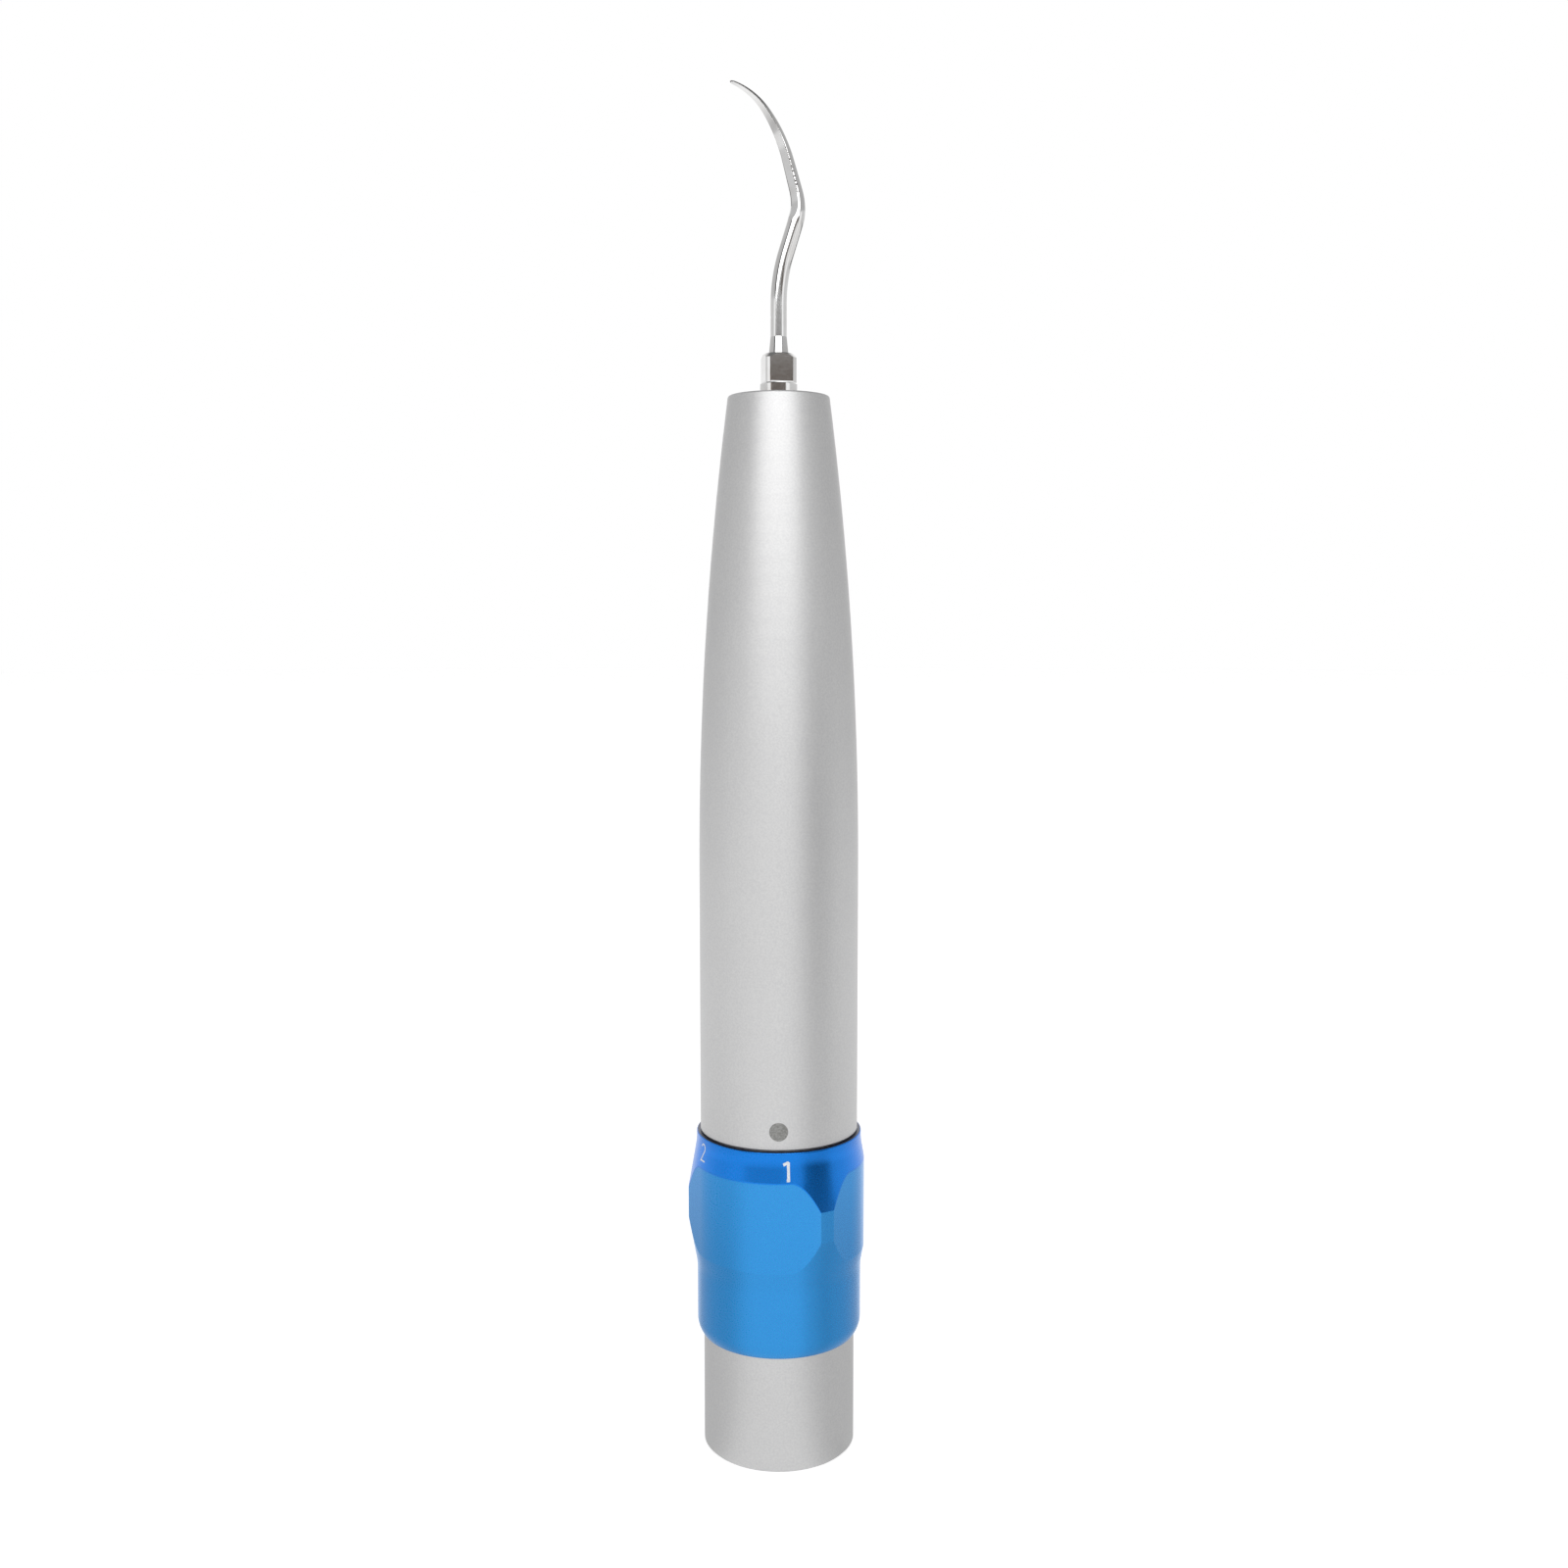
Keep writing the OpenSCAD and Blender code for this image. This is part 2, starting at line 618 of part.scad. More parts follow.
// Headless screw that ties the ring to the throttle sleeve through the sleeve's slot
module key_screw() color("dimgray") difference() {
    radial_bar(key_r, key_azimuth, key_z, key_tip_r + seat_gap, rib_r - key_sink);
    at_azimuth(key_azimuth) translate([rib_r - key_sink, 0, key_z])
        cube([key_d * 0.6, key_d + cut, key_d * 0.2], center = true);
}

// Plastic washer between the ring's counterbore and the handle's tail
module glide_washer() color("ivory")
    tube(tail_r - 2 * seat_gap, journal_r + 2 * seat_gap, washer_z0, washer_z0 + washer_t);

// Inner sleeve that turns with the ring; its three grooves meter the drive air
module throttle_sleeve() color("darkkhaki") difference() {
    bar(throttle_r, throttle_z0, throttle_z1);
    bar(neck_r + run_gap, throttle_z0 - cut, throttle_z1 + cut);
    for (i = [0:steps - 1]) at_azimuth(air_azimuth - i * step_turn)
        translate([neck_r, 0, key_z])
            cube([2 * groove_depths[i], groove_w, 2 * groove_reach], center = true);
    radial_bar(key_r + seat_gap, key_azimuth, key_z, key_tip_r, throttle_r + cut);
}

// ---------------------------------------------------------------- valve core and coupling socket

// Steel core: stepped socket for the hose coupling behind, neck with air ports in front
module valve_core() color("lightsteelblue") difference() {
    union() {
        bar(core_r, lip_t + seat_gap, neck_z0);
        bar(neck_r, neck_z0 - cut, neck_z1);
    }
    bar(socket_r, 0, socket_depth);
    tube(socket_r + latch_depth, socket_r - cut, latch_rise - latch_w / 2, latch_rise + latch_w / 2);
    bar(air_socket_r, 0, air_socket_z1);
    bar(water_socket_r, 0, water_socket_z1);
    seal_groove(air_socket_r, socket_depth + socket_seal_offset);
    seal_groove(water_socket_r, air_socket_z1 + socket_seal_offset);
    bar(water_r, 0, neck_z1 + cut);
    // Air comes up from the socket, crosses the metering groove and goes on to the manifold
    at_azimuth(air_azimuth) translate([passage_r, 0, 0]) bar(air_d / 2, 0, key_z - port_reach);
    at_azimuth(air_azimuth) translate([passage_r, 0, 0]) bar(air_d / 2, key_z + port_reach, neck_z1 + cut);
    for (side = [-1, 1])
        radial_bar(air_d / 2, air_azimuth, key_z + side * port_reach, passage_r, neck_r + cut);
    at_azimuth(air_azimuth + 180) translate([passage_r, 0, 0]) bar(exhaust_r, 0, neck_z1 + cut);
    for (z = [key_z - neck_seal_reach, key_z + neck_seal_reach])
        tube(neck_r + cut, neck_r - neck_seal - seat_gap, z - neck_seal / 2 - end_gap,
            z + neck_seal / 2 + end_gap);
    radial_bar(detent_hole_r, detent_azimuth, detent_z, detent_floor, core_r + cut);
    radial_bar(dowel_d / 2 + seat_gap, dowel_azimuth, ring_z0 + dowel_rise, dowel_floor, core_r + cut);
    manifold_screw_places() bar(screw_d / 2 + seat_gap, neck_z1 - screw_depth - end_gap, neck_z1 + cut);
}

// Groove for an O-ring inside a bore of the socket
module seal_groove(r, z) {
    half = socket_seal / 2 + end_gap;
    tube(r + socket_seal + seat_gap, r - cut, z - half, z + half);
}

// Places of the two manifold screws
module manifold_screw_places() {
    around(2, air_azimuth + 90) translate([screw_place_r, 0, 0]) children();
}

// Pin that keeps the core from turning in the sleeve
module dowel_pin() color("dimgray")
    radial_bar(dowel_d / 2, dowel_azimuth, ring_z0 + dowel_rise, dowel_floor + seat_gap,
        sleeve_r - seat_gap);

// Two O-rings in the socket that seal the coupling's air and water parts
module socket_seals() color("black") {
    out = (socket_seal + seat_gap) / 2;
    o_ring(air_socket_r + out, socket_depth + socket_seal_offset, socket_seal);
    o_ring(water_socket_r + out, air_socket_z1 + socket_seal_offset, socket_seal);
}

// Two O-rings on the neck that seal the throttle sleeve
module neck_seals() color("black") {
    for (side = [-1, 1])
        o_ring(neck_r - neck_seal / 2 - seat_gap / 2, key_z + side * neck_seal_reach, neck_seal);
}

// Ball that clicks into the ring's dimples, held in between two steps
module detent_ball() color("gray")
    at_azimuth(detent_azimuth) translate([ball_rest_r, 0, detent_z]) sphere(d = ball_d);

// One ring of points of the spring's wire
function wire_ring(a, x, r, wire) =
    [for (i = [0:wire_sides - 1]) let (b = 360 * i / wire_sides, q = r + wire / 2 * cos(b))
        [x + wire / 2 * sin(b), q * cos(a), q * sin(a)]];

// Faces that join rings of n points into a closed sweep
function sweep_faces(rings, n) = concat(
    [[for (i = [0:n - 1]) i]],
    [for (k = [0:rings - 2], i = [0:n - 1])
        [k * n + i, (k + 1) * n + i, (k + 1) * n + (i + 1) % n, k * n + (i + 1) % n]],
    [[for (i = [n - 1:-1:0]) (rings - 1) * n + i]]);

// Coil spring behind the detent ball
module detent_spring() color("silver") {
    rings = spring_turns * wire_rings + 1;
    start = detent_floor + spring_wire / 2 + seat_gap;
    end = ball_rest_r - ball_r - spring_wire / 2 - seat_gap;
    points = [for (k = [0:rings - 1]) each wire_ring(360 * k / wire_rings,
        start + (end - start) * k / (rings - 1), (spring_d - spring_wire) / 2, spring_wire)];
    at_azimuth(detent_azimuth) translate([0, 0, detent_z])
        polyhedron(points, sweep_faces(rings, wire_sides));
}

// ---------------------------------------------------------------- manifold and tubes

// Rubber gasket between the neck and the manifold
module manifold_gasket() color("black") difference() {
    bar(neck_r - seat_gap, neck_z1 + seat_gap, manifold_z0 - seat_gap);
    manifold_holes(neck_z1);
    manifold_screw_places() bar(screw_d / 2 + seat_gap, neck_z1, manifold_z0);
}

// Air, exhaust and water holes that go on through the gasket and the manifold
module manifold_holes(z) {
    at_azimuth(air_azimuth) translate([passage_r, 0, 0]) bar(air_d / 2, z - cut, manifold_z1);
    at_azimuth(air_azimuth + 180) translate([passage_r, 0, 0]) bar(exhaust_r, z - cut, manifold_z1 + cut);
    bar(water_r, z - cut, manifold_z1 + cut);
}

// Brass plate that closes the valve and carries the drive air tube
module air_manifold() color("goldenrod") difference() {
    bar(core_r, manifold_z0, manifold_z1);
    manifold_holes(manifold_z0);
    at_azimuth(air_azimuth) translate([passage_r, 0, 0])
        bar(air_tube_r + seat_gap, manifold_z1 - air_tube_depth - seat_gap, manifold_z1 + cut);
    manifold_screw_places() {
        bar(screw_d / 2 + seat_gap, manifold_z0 - cut, manifold_z1 + cut);
        bar(screw_head_d / 2 + seat_gap, manifold_z1 - screw_head_h - seat_gap, manifold_z1 + cut);
    }
}

// Two slotted screws that hold the manifold to the neck
module manifold_screws() color("silver") manifold_screw_places() difference() {
    union() {
        bar(screw_d / 2, neck_z1 - screw_depth, manifold_z1 - screw_head_h / 2);
        bar(screw_head_d / 2, manifold_z1 - screw_head_h, manifold_z1);
    }
    translate([0, 0, manifold_z1])
        cube([screw_head_d + cut, screw_slot_w, 2 * screw_slot_depth], center = true);
}

// Steel tube that feeds the cartridge with drive air
module drive_air_tube() color("silver") at_azimuth(air_azimuth) translate([passage_r, 0, 0])
    tube(air_tube_r, air_tube_r - air_tube_wall, manifold_z1 - air_tube_depth, cap_z0 + air_tube_depth);

// Thin steel tube that carries the water along the axis to the tip
module water_tube() color("silver")
    tube(water_tube_r, water_tube_r - water_tube_wall, neck_z1 - screw_depth, tip_hole_z - end_gap);

// O-ring between the sleeve's thread and the handle
module body_seal_ring() color("black")
    o_ring(thread_r - body_seal / 2, seal_z, body_seal - seat_gap);

// ---------------------------------------------------------------- handle

// Slim handle: cylinder, then a curved taper to the nose
module handle_shell() color([0.83, 0.84, 0.84]) {
    nose_r = handle_r_at(nose_z);
    thread_bore_r = thread_r + seat_gap;
    flange_seat_z = flange_z1 + seat_gap;
    difference() {
        rotate_extrude() polygon(concat(
            [[thread_bore_r, handle_z0], [tail_r, handle_z0], [tail_r, grip_z0],
            [handle_r - rim_break / 2, grip_z0], [handle_r, grip_z0 + rim_break / 2]],
            [for (i = [0:24]) let (z = taper_z + (taper_len - nose_round) * i / 24) [handle_r_at(z), z]],
            arc(nose_r - nose_round, nose_z - nose_round, nose_round, 20, 90, 4),
            [[nose_bush_r, nose_z], [nose_bush_r, nose_z - nose_bush_t],
            [web_bore_r, nose_z - nose_bush_t], [web_bore_r, seat_z1],
            [cartridge_r + seat_gap, seat_z1], [cartridge_r + seat_gap, seat_z0],
            [cartridge_r + cone_room, seat_z0], [main_bore_r - handle_step, flange_seat_z],
            [main_bore_r, flange_seat_z], [main_bore_r, thread_z1 + 2 * body_seal],
            [thread_bore_r, thread_z1 + 2 * body_seal]]));
        bar(journal_r + 2 * seat_gap, handle_z0 - cut, thread_z0 + seat_gap);
        radial_bar(dot_d / 2 + seat_gap / 2, 0, dot_z, handle_r - dot_t - seat_gap / 2, handle_r + cut);
    }
}

// Grey enamel dot that the digits on the ring are set to
module index_dot() color("gray") intersection() {
    radial_bar(dot_d / 2, 0, dot_z, handle_r - dot_t, handle_r + cut);
    bar(handle_r, dot_z - dot_d, dot_z + dot_d);
}

// Bush that closes the nose around the collar
module nose_bush() color("dimgray") difference() {
    bar(nose_bush_r - seat_gap, nose_z - nose_bush_t + seat_gap, nose_z - seat_gap);
    bar(nose_bore_r, nose_z - nose_bush_t - cut, nose_z + cut);
}

// ---------------------------------------------------------------- cartridge

// Threaded ring with two key slots that clamps the cartridge into the handle
module clamp_nut() color("goldenrod") difference() {
    tube(flange_r, nut_bore_r, nut_z0, nut_z1);
    translate([0, 0, nut_z0]) cube([2 * flange_r + cut, nut_slot, 2 * nut_slot], center = true);
}

// Exhaust holes through the cartridge's flange and cap
module vent_holes(z0, z1) {
    around(vents, air_azimuth + 180 / vents) translate([vent_r, 0, 0]) bar(vent_d / 2, z0 - cut, z1 + cut);
}

// Cap behind the cartridge: takes the air tube and leads its air to the nozzle on the axis
module cartridge_cap() color("goldenrod") difference() {
    union() {
        bar(flange_r, cap_z0, cap_z0 + cap_t);
        bar(shaft_r, cap_z0, nozzle_z1);
    }
    bar(water_tube_r + seat_gap, cap_z0 - cut, cap_z0 + cap_t);
    bar(shaft_r - nozzle_wall, cap_z0 + cap_t / 3, nozzle_z1 + cut);
    at_azimuth(air_azimuth) translate([passage_r, 0, 0])
        bar(air_tube_r + seat_gap, cap_z0 - cut, cap_z0 + air_tube_depth + seat_gap);
    radial_bar(air_d / 3, air_azimuth, cap_z0 + cap_t / 2, 0, passage_r);
    vent_holes(cap_z0, cap_z0 + cap_t);
}

// Tube that carries the dampers, with a flange at its rear and a wall at its front
module cartridge_tube() color("lightsteelblue") difference() {
    union() {
        bar(flange_r, tube_z0, flange_z1);
        bar(cartridge_r, tube_z0, tube_z1);
    }
    bar(cartridge_bore_r, tube_z0 - cut, tube_z1 - front_wall_t);
    bar(nose_bore_r, tube_z0, tube_z1 + cut);
    vent_holes(tube_z0, flange_z1);
    // Exhaust windows beside the rotor ring
    around(vents) translate([cartridge_r, 0, rotor_z]) rotate([0, 90, 0])
        cylinder(d = 2 * vent_d, h = 2 * cartridge_r, center = true);
}

// Flexible sleeve that joins the cap's nozzle to the vibrator
module flex_air_sleeve() color("whitesmoke")
    tube(flex_bore_r + flex_wall, flex_bore_r, tube_z0 + seat_gap, tube_z0 + flex_len);

// A rubber ring that holds the vibrator in the cartridge
module damper(z) {
    difference() {
        bar(cartridge_bore_r - seat_gap, z - damper_len / 2, z + damper_len / 2);
        bar(shaft_r + rubber_gap, z - damper_len, z + damper_len);
    }
}
module rear_damper() color("black") damper(rear_damper_z);
module front_damper() color("black") damper(front_damper_z);

// ---------------------------------------------------------------- vibrator

// A flange on the vibrator's shaft that starts at z
module shaft_flange(r, z) {
    bar(r, z, z + shaft_flange_t);
}

// Hollow shaft whose oblique jets drive the rotor ring; its collar shows at the nose
module vibrator_shaft() color("silver") difference() {
    union() {
        bar(shaft_r, shaft_z0, face_z);
        bar(collar_r, face_z - collar_len, face_z);
        for (z = [rear_damper_z, front_damper_z]) {
            shaft_flange(flange_out_r, z + damper_len / 2 + rubber_gap);
            shaft_flange(flange_out_r, z - damper_len / 2 - rubber_gap - shaft_flange_t);
        }
        bar(rotor_journal_r, rotor_z0 - end_gap, rotor_z1 + end_gap + 2 * circlip_t);
        shaft_flange(circlip_r, rotor_z0 - end_gap - shaft_flange_t);
    }
    tube(rotor_journal_r + cut, shaft_r, rotor_z1 + end_gap, rotor_z1 + end_gap + circlip_t);
    bar(shaft_bore_d / 2, shaft_z0 - cut, tip_hole_z + cut);
    bar(tip_thread_r + thread_gap, tip_hole_z, face_z + cut);
    around(jets) translate([0, shaft_bore_d / 4, rotor_z]) rotate([0, 90, 0])
        cylinder(d = jet_d, h = rotor_r);
}

// Loose ring that the air spins around the shaft
module rotor_ring() color("gray")
    tube(rotor_r, rotor_bore_r, rotor_z0, rotor_z1);

// Open ring in a groove of the shaft that keeps the rotor ring in place
module rotor_circlip() color("dimgray") {
    z0 = rotor_z1 + end_gap + seat_gap;
    difference() {
        tube(circlip_r, shaft_r + seat_gap, z0, z0 + circlip_t - 2 * seat_gap);
        translate([0, 0, z0 - cut]) linear_extrude(circlip_t + 2 * cut)
            polygon([[0, 0], [2 * circlip_r, -circlip_r], [2 * circlip_r, circlip_r]]);
    }
}

// Rubber ring that seals the water tube's end to the tip
module water_seal() color("black")
    tube(tip_thread_r, water_tube_r + rubber_gap, tip_hole_z + end_gap,
        tip_hole_z + end_gap + water_seal_t);

// ---------------------------------------------------------------- tip

// State at the start of bend i: [x, z, lean]
function bend_start(i) = i == 0 ? [0, tip_z, 0]
    : let (p = bend_start(i - 1), b = tip_bends[i - 1]) bend_point(p, b, b[0]);

// State at length s inside bend b that starts at state p
function bend_point(p, b, s) =
    let (k = b[1] / b[0], a = p[2] + k * s, r = k == 0 ? 0 : 180 / (PI * k))
    k == 0 ? [p[0] + s * sin(a), p[1] + s * cos(a), a]
        : [p[0] + r * (cos(p[2]) - cos(a)), p[1] + r * (sin(a) - sin(p[2])), a];

// State at length s along the whole tip
function tip_state(s, i = 0) =
    s <= tip_bends[i][0] || i == len(tip_bends) - 1 ? bend_point(bend_start(i), tip_bends[i], s)
        : tip_state(s - tip_bends[i][0], i + 1);

// Width of the tip at length s: shank, blade, rounded point
function tip_width(s) =
    let (m = smooth((s - mill_start) / mill_len), blade_start = mill_start + mill_len,
        u = max(0, (s - blade_start) / (tip_len - blade_start)),
        blade = blade_w - (blade_w - blade_end_w) * pow(u, 1.6),
        e = max(0, (s - tip_len + point_len) / point_len))
    (shank_d + (blade - shank_d) * m) * sqrt(max(0.02, 1 - e * e));

// Cross-section point at angle t: a circle that turns into a round back with two flats
function tip_section(t, s) =
    let (m = smooth((s - mill_start) / mill_len), w = tip_width(s), back = 0.45 * w,
        half = blade_flat * w / 2, f = (abs(t) - 90) / 90, side = sign(t),
        blade = abs(t) <= 90 ? [w / 2 - back + back * cos(t), half * sin(t)]
            : [(w / 2 - back) + f * (back - w), side * half * (1 - f)],
        round_part = w / 2 * [cos(t), sin(t)])
    round_part + m * (blade - round_part);

// Ring of points of the tip at length s
function tip_ring(s) =
    let (p = tip_state(s))
    [for (i = [0:tip_sides - 1]) let (q = tip_section(-180 + 360 * (i + 0.5) / tip_sides, s))
        [p[0] + q[0] * cos(p[2]), q[1], p[1] - q[0] * sin(p[2])]];

// Curved shank and sickle blade
module tip_blade() {
    lengths = [for (k = [0:tip_rings - 1]) tip_start + (tip_len - tip_start) * k / (tip_rings - 1)];
    polyhedron([for (s = lengths) each tip_ring(s)], sweep_faces(tip_rings, tip_sides));
}

// Steel tip: thread stub, square base for the key, root, curved shank and blade
module scaler_tip() color("gainsboro") difference() {
    union() {
        bar(tip_thread_r, stub_z0, square_z + cut);
        intersection() {
            rotate_extrude() polygon([[0, square_z], [square_turned_d / 2 - square_edge, square_z],
                [square_turned_d / 2, square_z + square_edge], [square_turned_d / 2, tip_z - square_chamfer],
                [square_turned_d / 2 - square_chamfer, tip_z], [0, tip_z]]);
            rotate([0, 0, square_turn]) translate([0, 0, square_z + square_h / 2])
                cube([square_w, square_w, 2 * square_h], center = true);
        }
        translate([0, 0, tip_z - root_sink])
            cylinder(d1 = root_d, d2 = shank_d - 2 * root_sink, h = 1.3 * root_h);
        tip_blade();
    }
    bar(channel_d / 2, stub_z0 - cut, tip_z + outlet_rise);
    at_azimuth(180) translate([0, 0, tip_z + outlet_rise]) rotate([0, 60, 0])
        cylinder(d = channel_d, h = shank_d);
}

rear_sleeve();
power_ring();
key_screw();
glide_washer();
throttle_sleeve();
valve_core();
dowel_pin();
socket_seals();
neck_seals();
detent_ball();
detent_spring();
manifold_gasket();
air_manifold();
manifold_screws();
drive_air_tube();
water_tube();
body_seal_ring();
handle_shell();
index_dot();
clamp_nut();
cartridge_cap();
cartridge_tube();
flex_air_sleeve();
rear_damper();
front_damper();
nose_bush();
vibrator_shaft();
rotor_ring();
rotor_circlip();
water_seal();
scaler_tip();
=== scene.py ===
import bpy
import math
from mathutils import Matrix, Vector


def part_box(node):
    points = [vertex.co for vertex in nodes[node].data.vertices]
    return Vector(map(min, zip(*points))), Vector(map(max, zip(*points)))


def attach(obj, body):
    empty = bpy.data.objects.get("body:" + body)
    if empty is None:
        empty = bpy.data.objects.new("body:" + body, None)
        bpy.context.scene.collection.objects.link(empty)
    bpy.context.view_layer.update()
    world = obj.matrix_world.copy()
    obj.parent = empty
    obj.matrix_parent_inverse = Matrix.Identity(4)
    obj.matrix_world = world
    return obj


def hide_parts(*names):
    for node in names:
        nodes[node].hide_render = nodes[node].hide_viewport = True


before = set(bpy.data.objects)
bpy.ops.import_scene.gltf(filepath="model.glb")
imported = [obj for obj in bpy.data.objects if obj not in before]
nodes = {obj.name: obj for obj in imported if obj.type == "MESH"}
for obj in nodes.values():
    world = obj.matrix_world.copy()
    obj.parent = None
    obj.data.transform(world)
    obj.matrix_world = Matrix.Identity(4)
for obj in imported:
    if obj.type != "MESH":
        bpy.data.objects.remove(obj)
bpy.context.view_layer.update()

# ---------------------------------------------------------------- camera
# The handpiece is seen from the front, from a little above the middle of its handle, with the
# camera leaning slightly down.
mm = 0.001
camera_place = (0.54 * mm, -168.6 * mm, 87.45 * mm)
camera_lean = 5.66
bpy.ops.object.camera_add(location=camera_place, rotation=(math.radians(90 - camera_lean), 0, 0))
camera = bpy.context.object
camera.data.sensor_width = 36
camera.data.lens = 37.46
camera.data.clip_start = 10 * mm
bpy.context.scene.camera = camera
bpy.context.scene.view_settings.view_transform = "Standard"

# ---------------------------------------------------------------- room
# A studio that the eye sees as plain white. The metal sees more of it: a dim band in front with
# a brown screen in it and a lit panel low on the right, two dark posts, grey side walls, a dark
# floor behind the table and a dim ceiling. Everything else gets its even half light.


class Wire:
    """An output of a shader node, so that a pattern can be written as a sum."""

    def __init__(self, tree, output=None):
        self.tree = tree
        self.output = output

    def node(self, kind, settings={}, values={}, take=0):
        """Adds a node: its settings first, then the values or wires of its sockets."""
        made = self.tree.nodes.new("ShaderNode" + kind)
        for name, setting in settings.items():
            if name == "stops":
                elements = made.color_ramp.elements
                while len(elements) < len(setting):
                    elements.new(0.5)
                for element, (place, shade) in zip(elements, setting):
                    element.position = place
                    element.color = (shade, shade, shade, 1)
            else:
                setattr(made, name, setting)
        for name, value in values.items():
            socket = made.inputs[name] if isinstance(name, int) else next(
                s for s in made.inputs if s.enabled and s.name == name)
            if isinstance(value, Wire):
                self.tree.links.new(value.output, socket)
            else:
                socket.default_value = value
        outputs = [s for s in made.outputs if s.enabled and take in (s.name, 0)]
        return Wire(self.tree, outputs[0] if outputs else None)

    def maths(self, operation, *values):
        return self.node("Math", {"operation": operation}, dict(enumerate(values)))

    def __add__(self, other):
        return self.maths("ADD", self, other)

    def __sub__(self, other):
        return self.maths("SUBTRACT", self, other)

    def __rsub__(self, other):
        return self.maths("SUBTRACT", other, self)

    def __mul__(self, other):
        return self.maths("MULTIPLY", self, other)

    def __truediv__(self, other):
        return self.maths("DIVIDE", self, other)

    __radd__ = __add__
    __rmul__ = __mul__

    def between(self, low, high):
        """0 below low and 1 above high, smooth between them."""
        return self.node("MapRange", {"interpolation_type": "SMOOTHSTEP"},
            {"Value": self, "From Min": low, "From Max": high})

    def inside(self, low, high, soft):
        """1 between low and high and 0 outside, over edges of this half width."""
        return self.between(low - soft, low + soft) * (1 - self.between(high - soft, high + soft))

    def shades(self, dark, light):
        """A colour that goes from dark to light as this goes from 0 to 1."""
        return self.node("Mix", {"data_type": "RGBA"},
            {"Factor": self, "A": (*dark, 1), "B": (*light, 1)}, take="Result")

    def axes(self):
        """The three parts of a vector."""
        return [self.node("SeparateXYZ", {}, {"Vector": self}, take=axis) for axis in "XYZ"]

    def ramp(self, *stops):
        """A grey for each place along this, straight between the stops."""
        return self.node("ValToRGB", {"stops": stops}, {"Fac": self}, take="Color")


def rays(start):
    """What a ray is that meets the surface: the eye's own, or one seen in metal or glass."""
    eye, glance, through = [start.node("LightPath", take=f"Is {kind} Ray")
        for kind in ("Camera", "Glossy", "Transmission")]
    return eye, glance, through


def compass(start, x, y):
    """Degrees round to the right from the camera, and half turns to either side of it."""
    bearing = start.maths("ARCTAN2", x, y * -1) * (180 / math.pi)
    return bearing, start.maths("ABSOLUTE", bearing) / 180


half_light = 0.55
panel_glow = 0.6
floor_dimmed = 0.8
ceiling_dimmed = 0.7
screen_brown = (0.32, 0.26, 0.22)

room = bpy.data.worlds.new("studio")
bpy.context.scene.world = room
room.use_nodes = True
room.node_tree.nodes.clear()
start = Wire(room.node_tree)
x, y, up = start.node("TexCoord", take="Generated").axes()
bearing, around = compass(start, x, y)
low_walls = around.ramp((0.0, 0.36), (0.23, 0.36), (0.27, 1.0), (0.37, 1.0), (0.42, 0.65),
    (0.8, 0.7), (0.88, 1.0))
# The whole turn from behind on the left, over the front, to behind on the right
high_walls = (bearing / 360 + 0.5).ramp((0.0, 1.0), (0.06, 1.0), (0.1, 0.6), (0.32, 0.52),
    (0.34, 0.1), (0.375, 0.1), (0.385, 1.0), (0.6, 1.0), (0.61, 0.2), (0.625, 0.2), (0.64, 0.45),
    (0.9, 0.5), (0.94, 1.0), (1.0, 1.0))
high = up.between(0.2, 0.23)
screen = bearing.inside(-50, 44, 4) * up.between(0.09, 0.12) * (1 - up.between(0.158, 0.164))
panel = bearing.inside(9, 41, 3) * (1 - up.between(0.08, 0.1))
dark_floor = around.inside(0.62, 0.86, 0.02) * (1 - up.between(0, 0.03))
ceiling = up.between(0.7, 0.85)
seen_room = (low_walls * (1 - high) + high_walls * high + panel * panel_glow) \
    * (1 - dark_floor * floor_dimmed) * (1 - ceiling * ceiling_dimmed)
eye, glance, through = rays(start)
strength = eye + (1 - eye) * ((glance + through) * seen_room
    + (1 - glance - through) * half_light)
colour = (screen * glance).shades((1, 1, 1), screen_brown)
light = start.node("Background", {}, {"Color": colour, "Strength": strength})
start.node("OutputWorld", {}, {"Surface": light})

# ---------------------------------------------------------------- lamp
# One wide softbox stands in front, above the camera, and is turned down to the handpiece. It
# gives all the pieces a broad and even light.
softbox_size = (1.4, 0.5)
softbox_glow = 1.6
softbox_distance = 0.75
softbox_height = 0.54
aimed_at = 0.07
bpy.ops.object.light_add(type="AREA", location=(-0.03, -softbox_distance, softbox_height))
softbox = bpy.context.object
softbox.rotation_euler = (math.atan2(softbox_distance, softbox_height - aimed_at), 0, 0)
softbox.data.shape = "RECTANGLE"
softbox.data.size, softbox.data.size_y = softbox_size
softbox.data.energy = softbox_glow * math.pi * softbox_size[0] * softbox_size[1]

# ---------------------------------------------------------------- table
# A matt white table top. Seen from the camera it burns out to white like the walls, apart from
# the soft shadow at the foot of the handpiece. The metal sees it as a glow with painted shade in
# it: dimmer near the handpiece and far off at its sides, and in a patch towards the card.


def new_finish(name):
    """An empty material, and the wire that its patterns start from."""
    made = bpy.data.materials.new(name)
    made.use_nodes = True
    made.node_tree.nodes.clear()
    return made, Wire(made.node_tree)


def noise(start, scale, detail):
    """Soft spots all through the piece, this many to a metre."""
    return start.node("TexNoise", {},
        {"Vector": start.node("TexCoord", take="Object"), "Scale": scale, "Detail": detail})


def alone(operator, **settings):
    """Adds a primitive with nothing else selected, and puts its place and turn in its mesh."""
    bpy.ops.object.select_all(action="DESELECT")
    operator(**settings)
    bpy.ops.object.transform_apply()
    return bpy.context.object


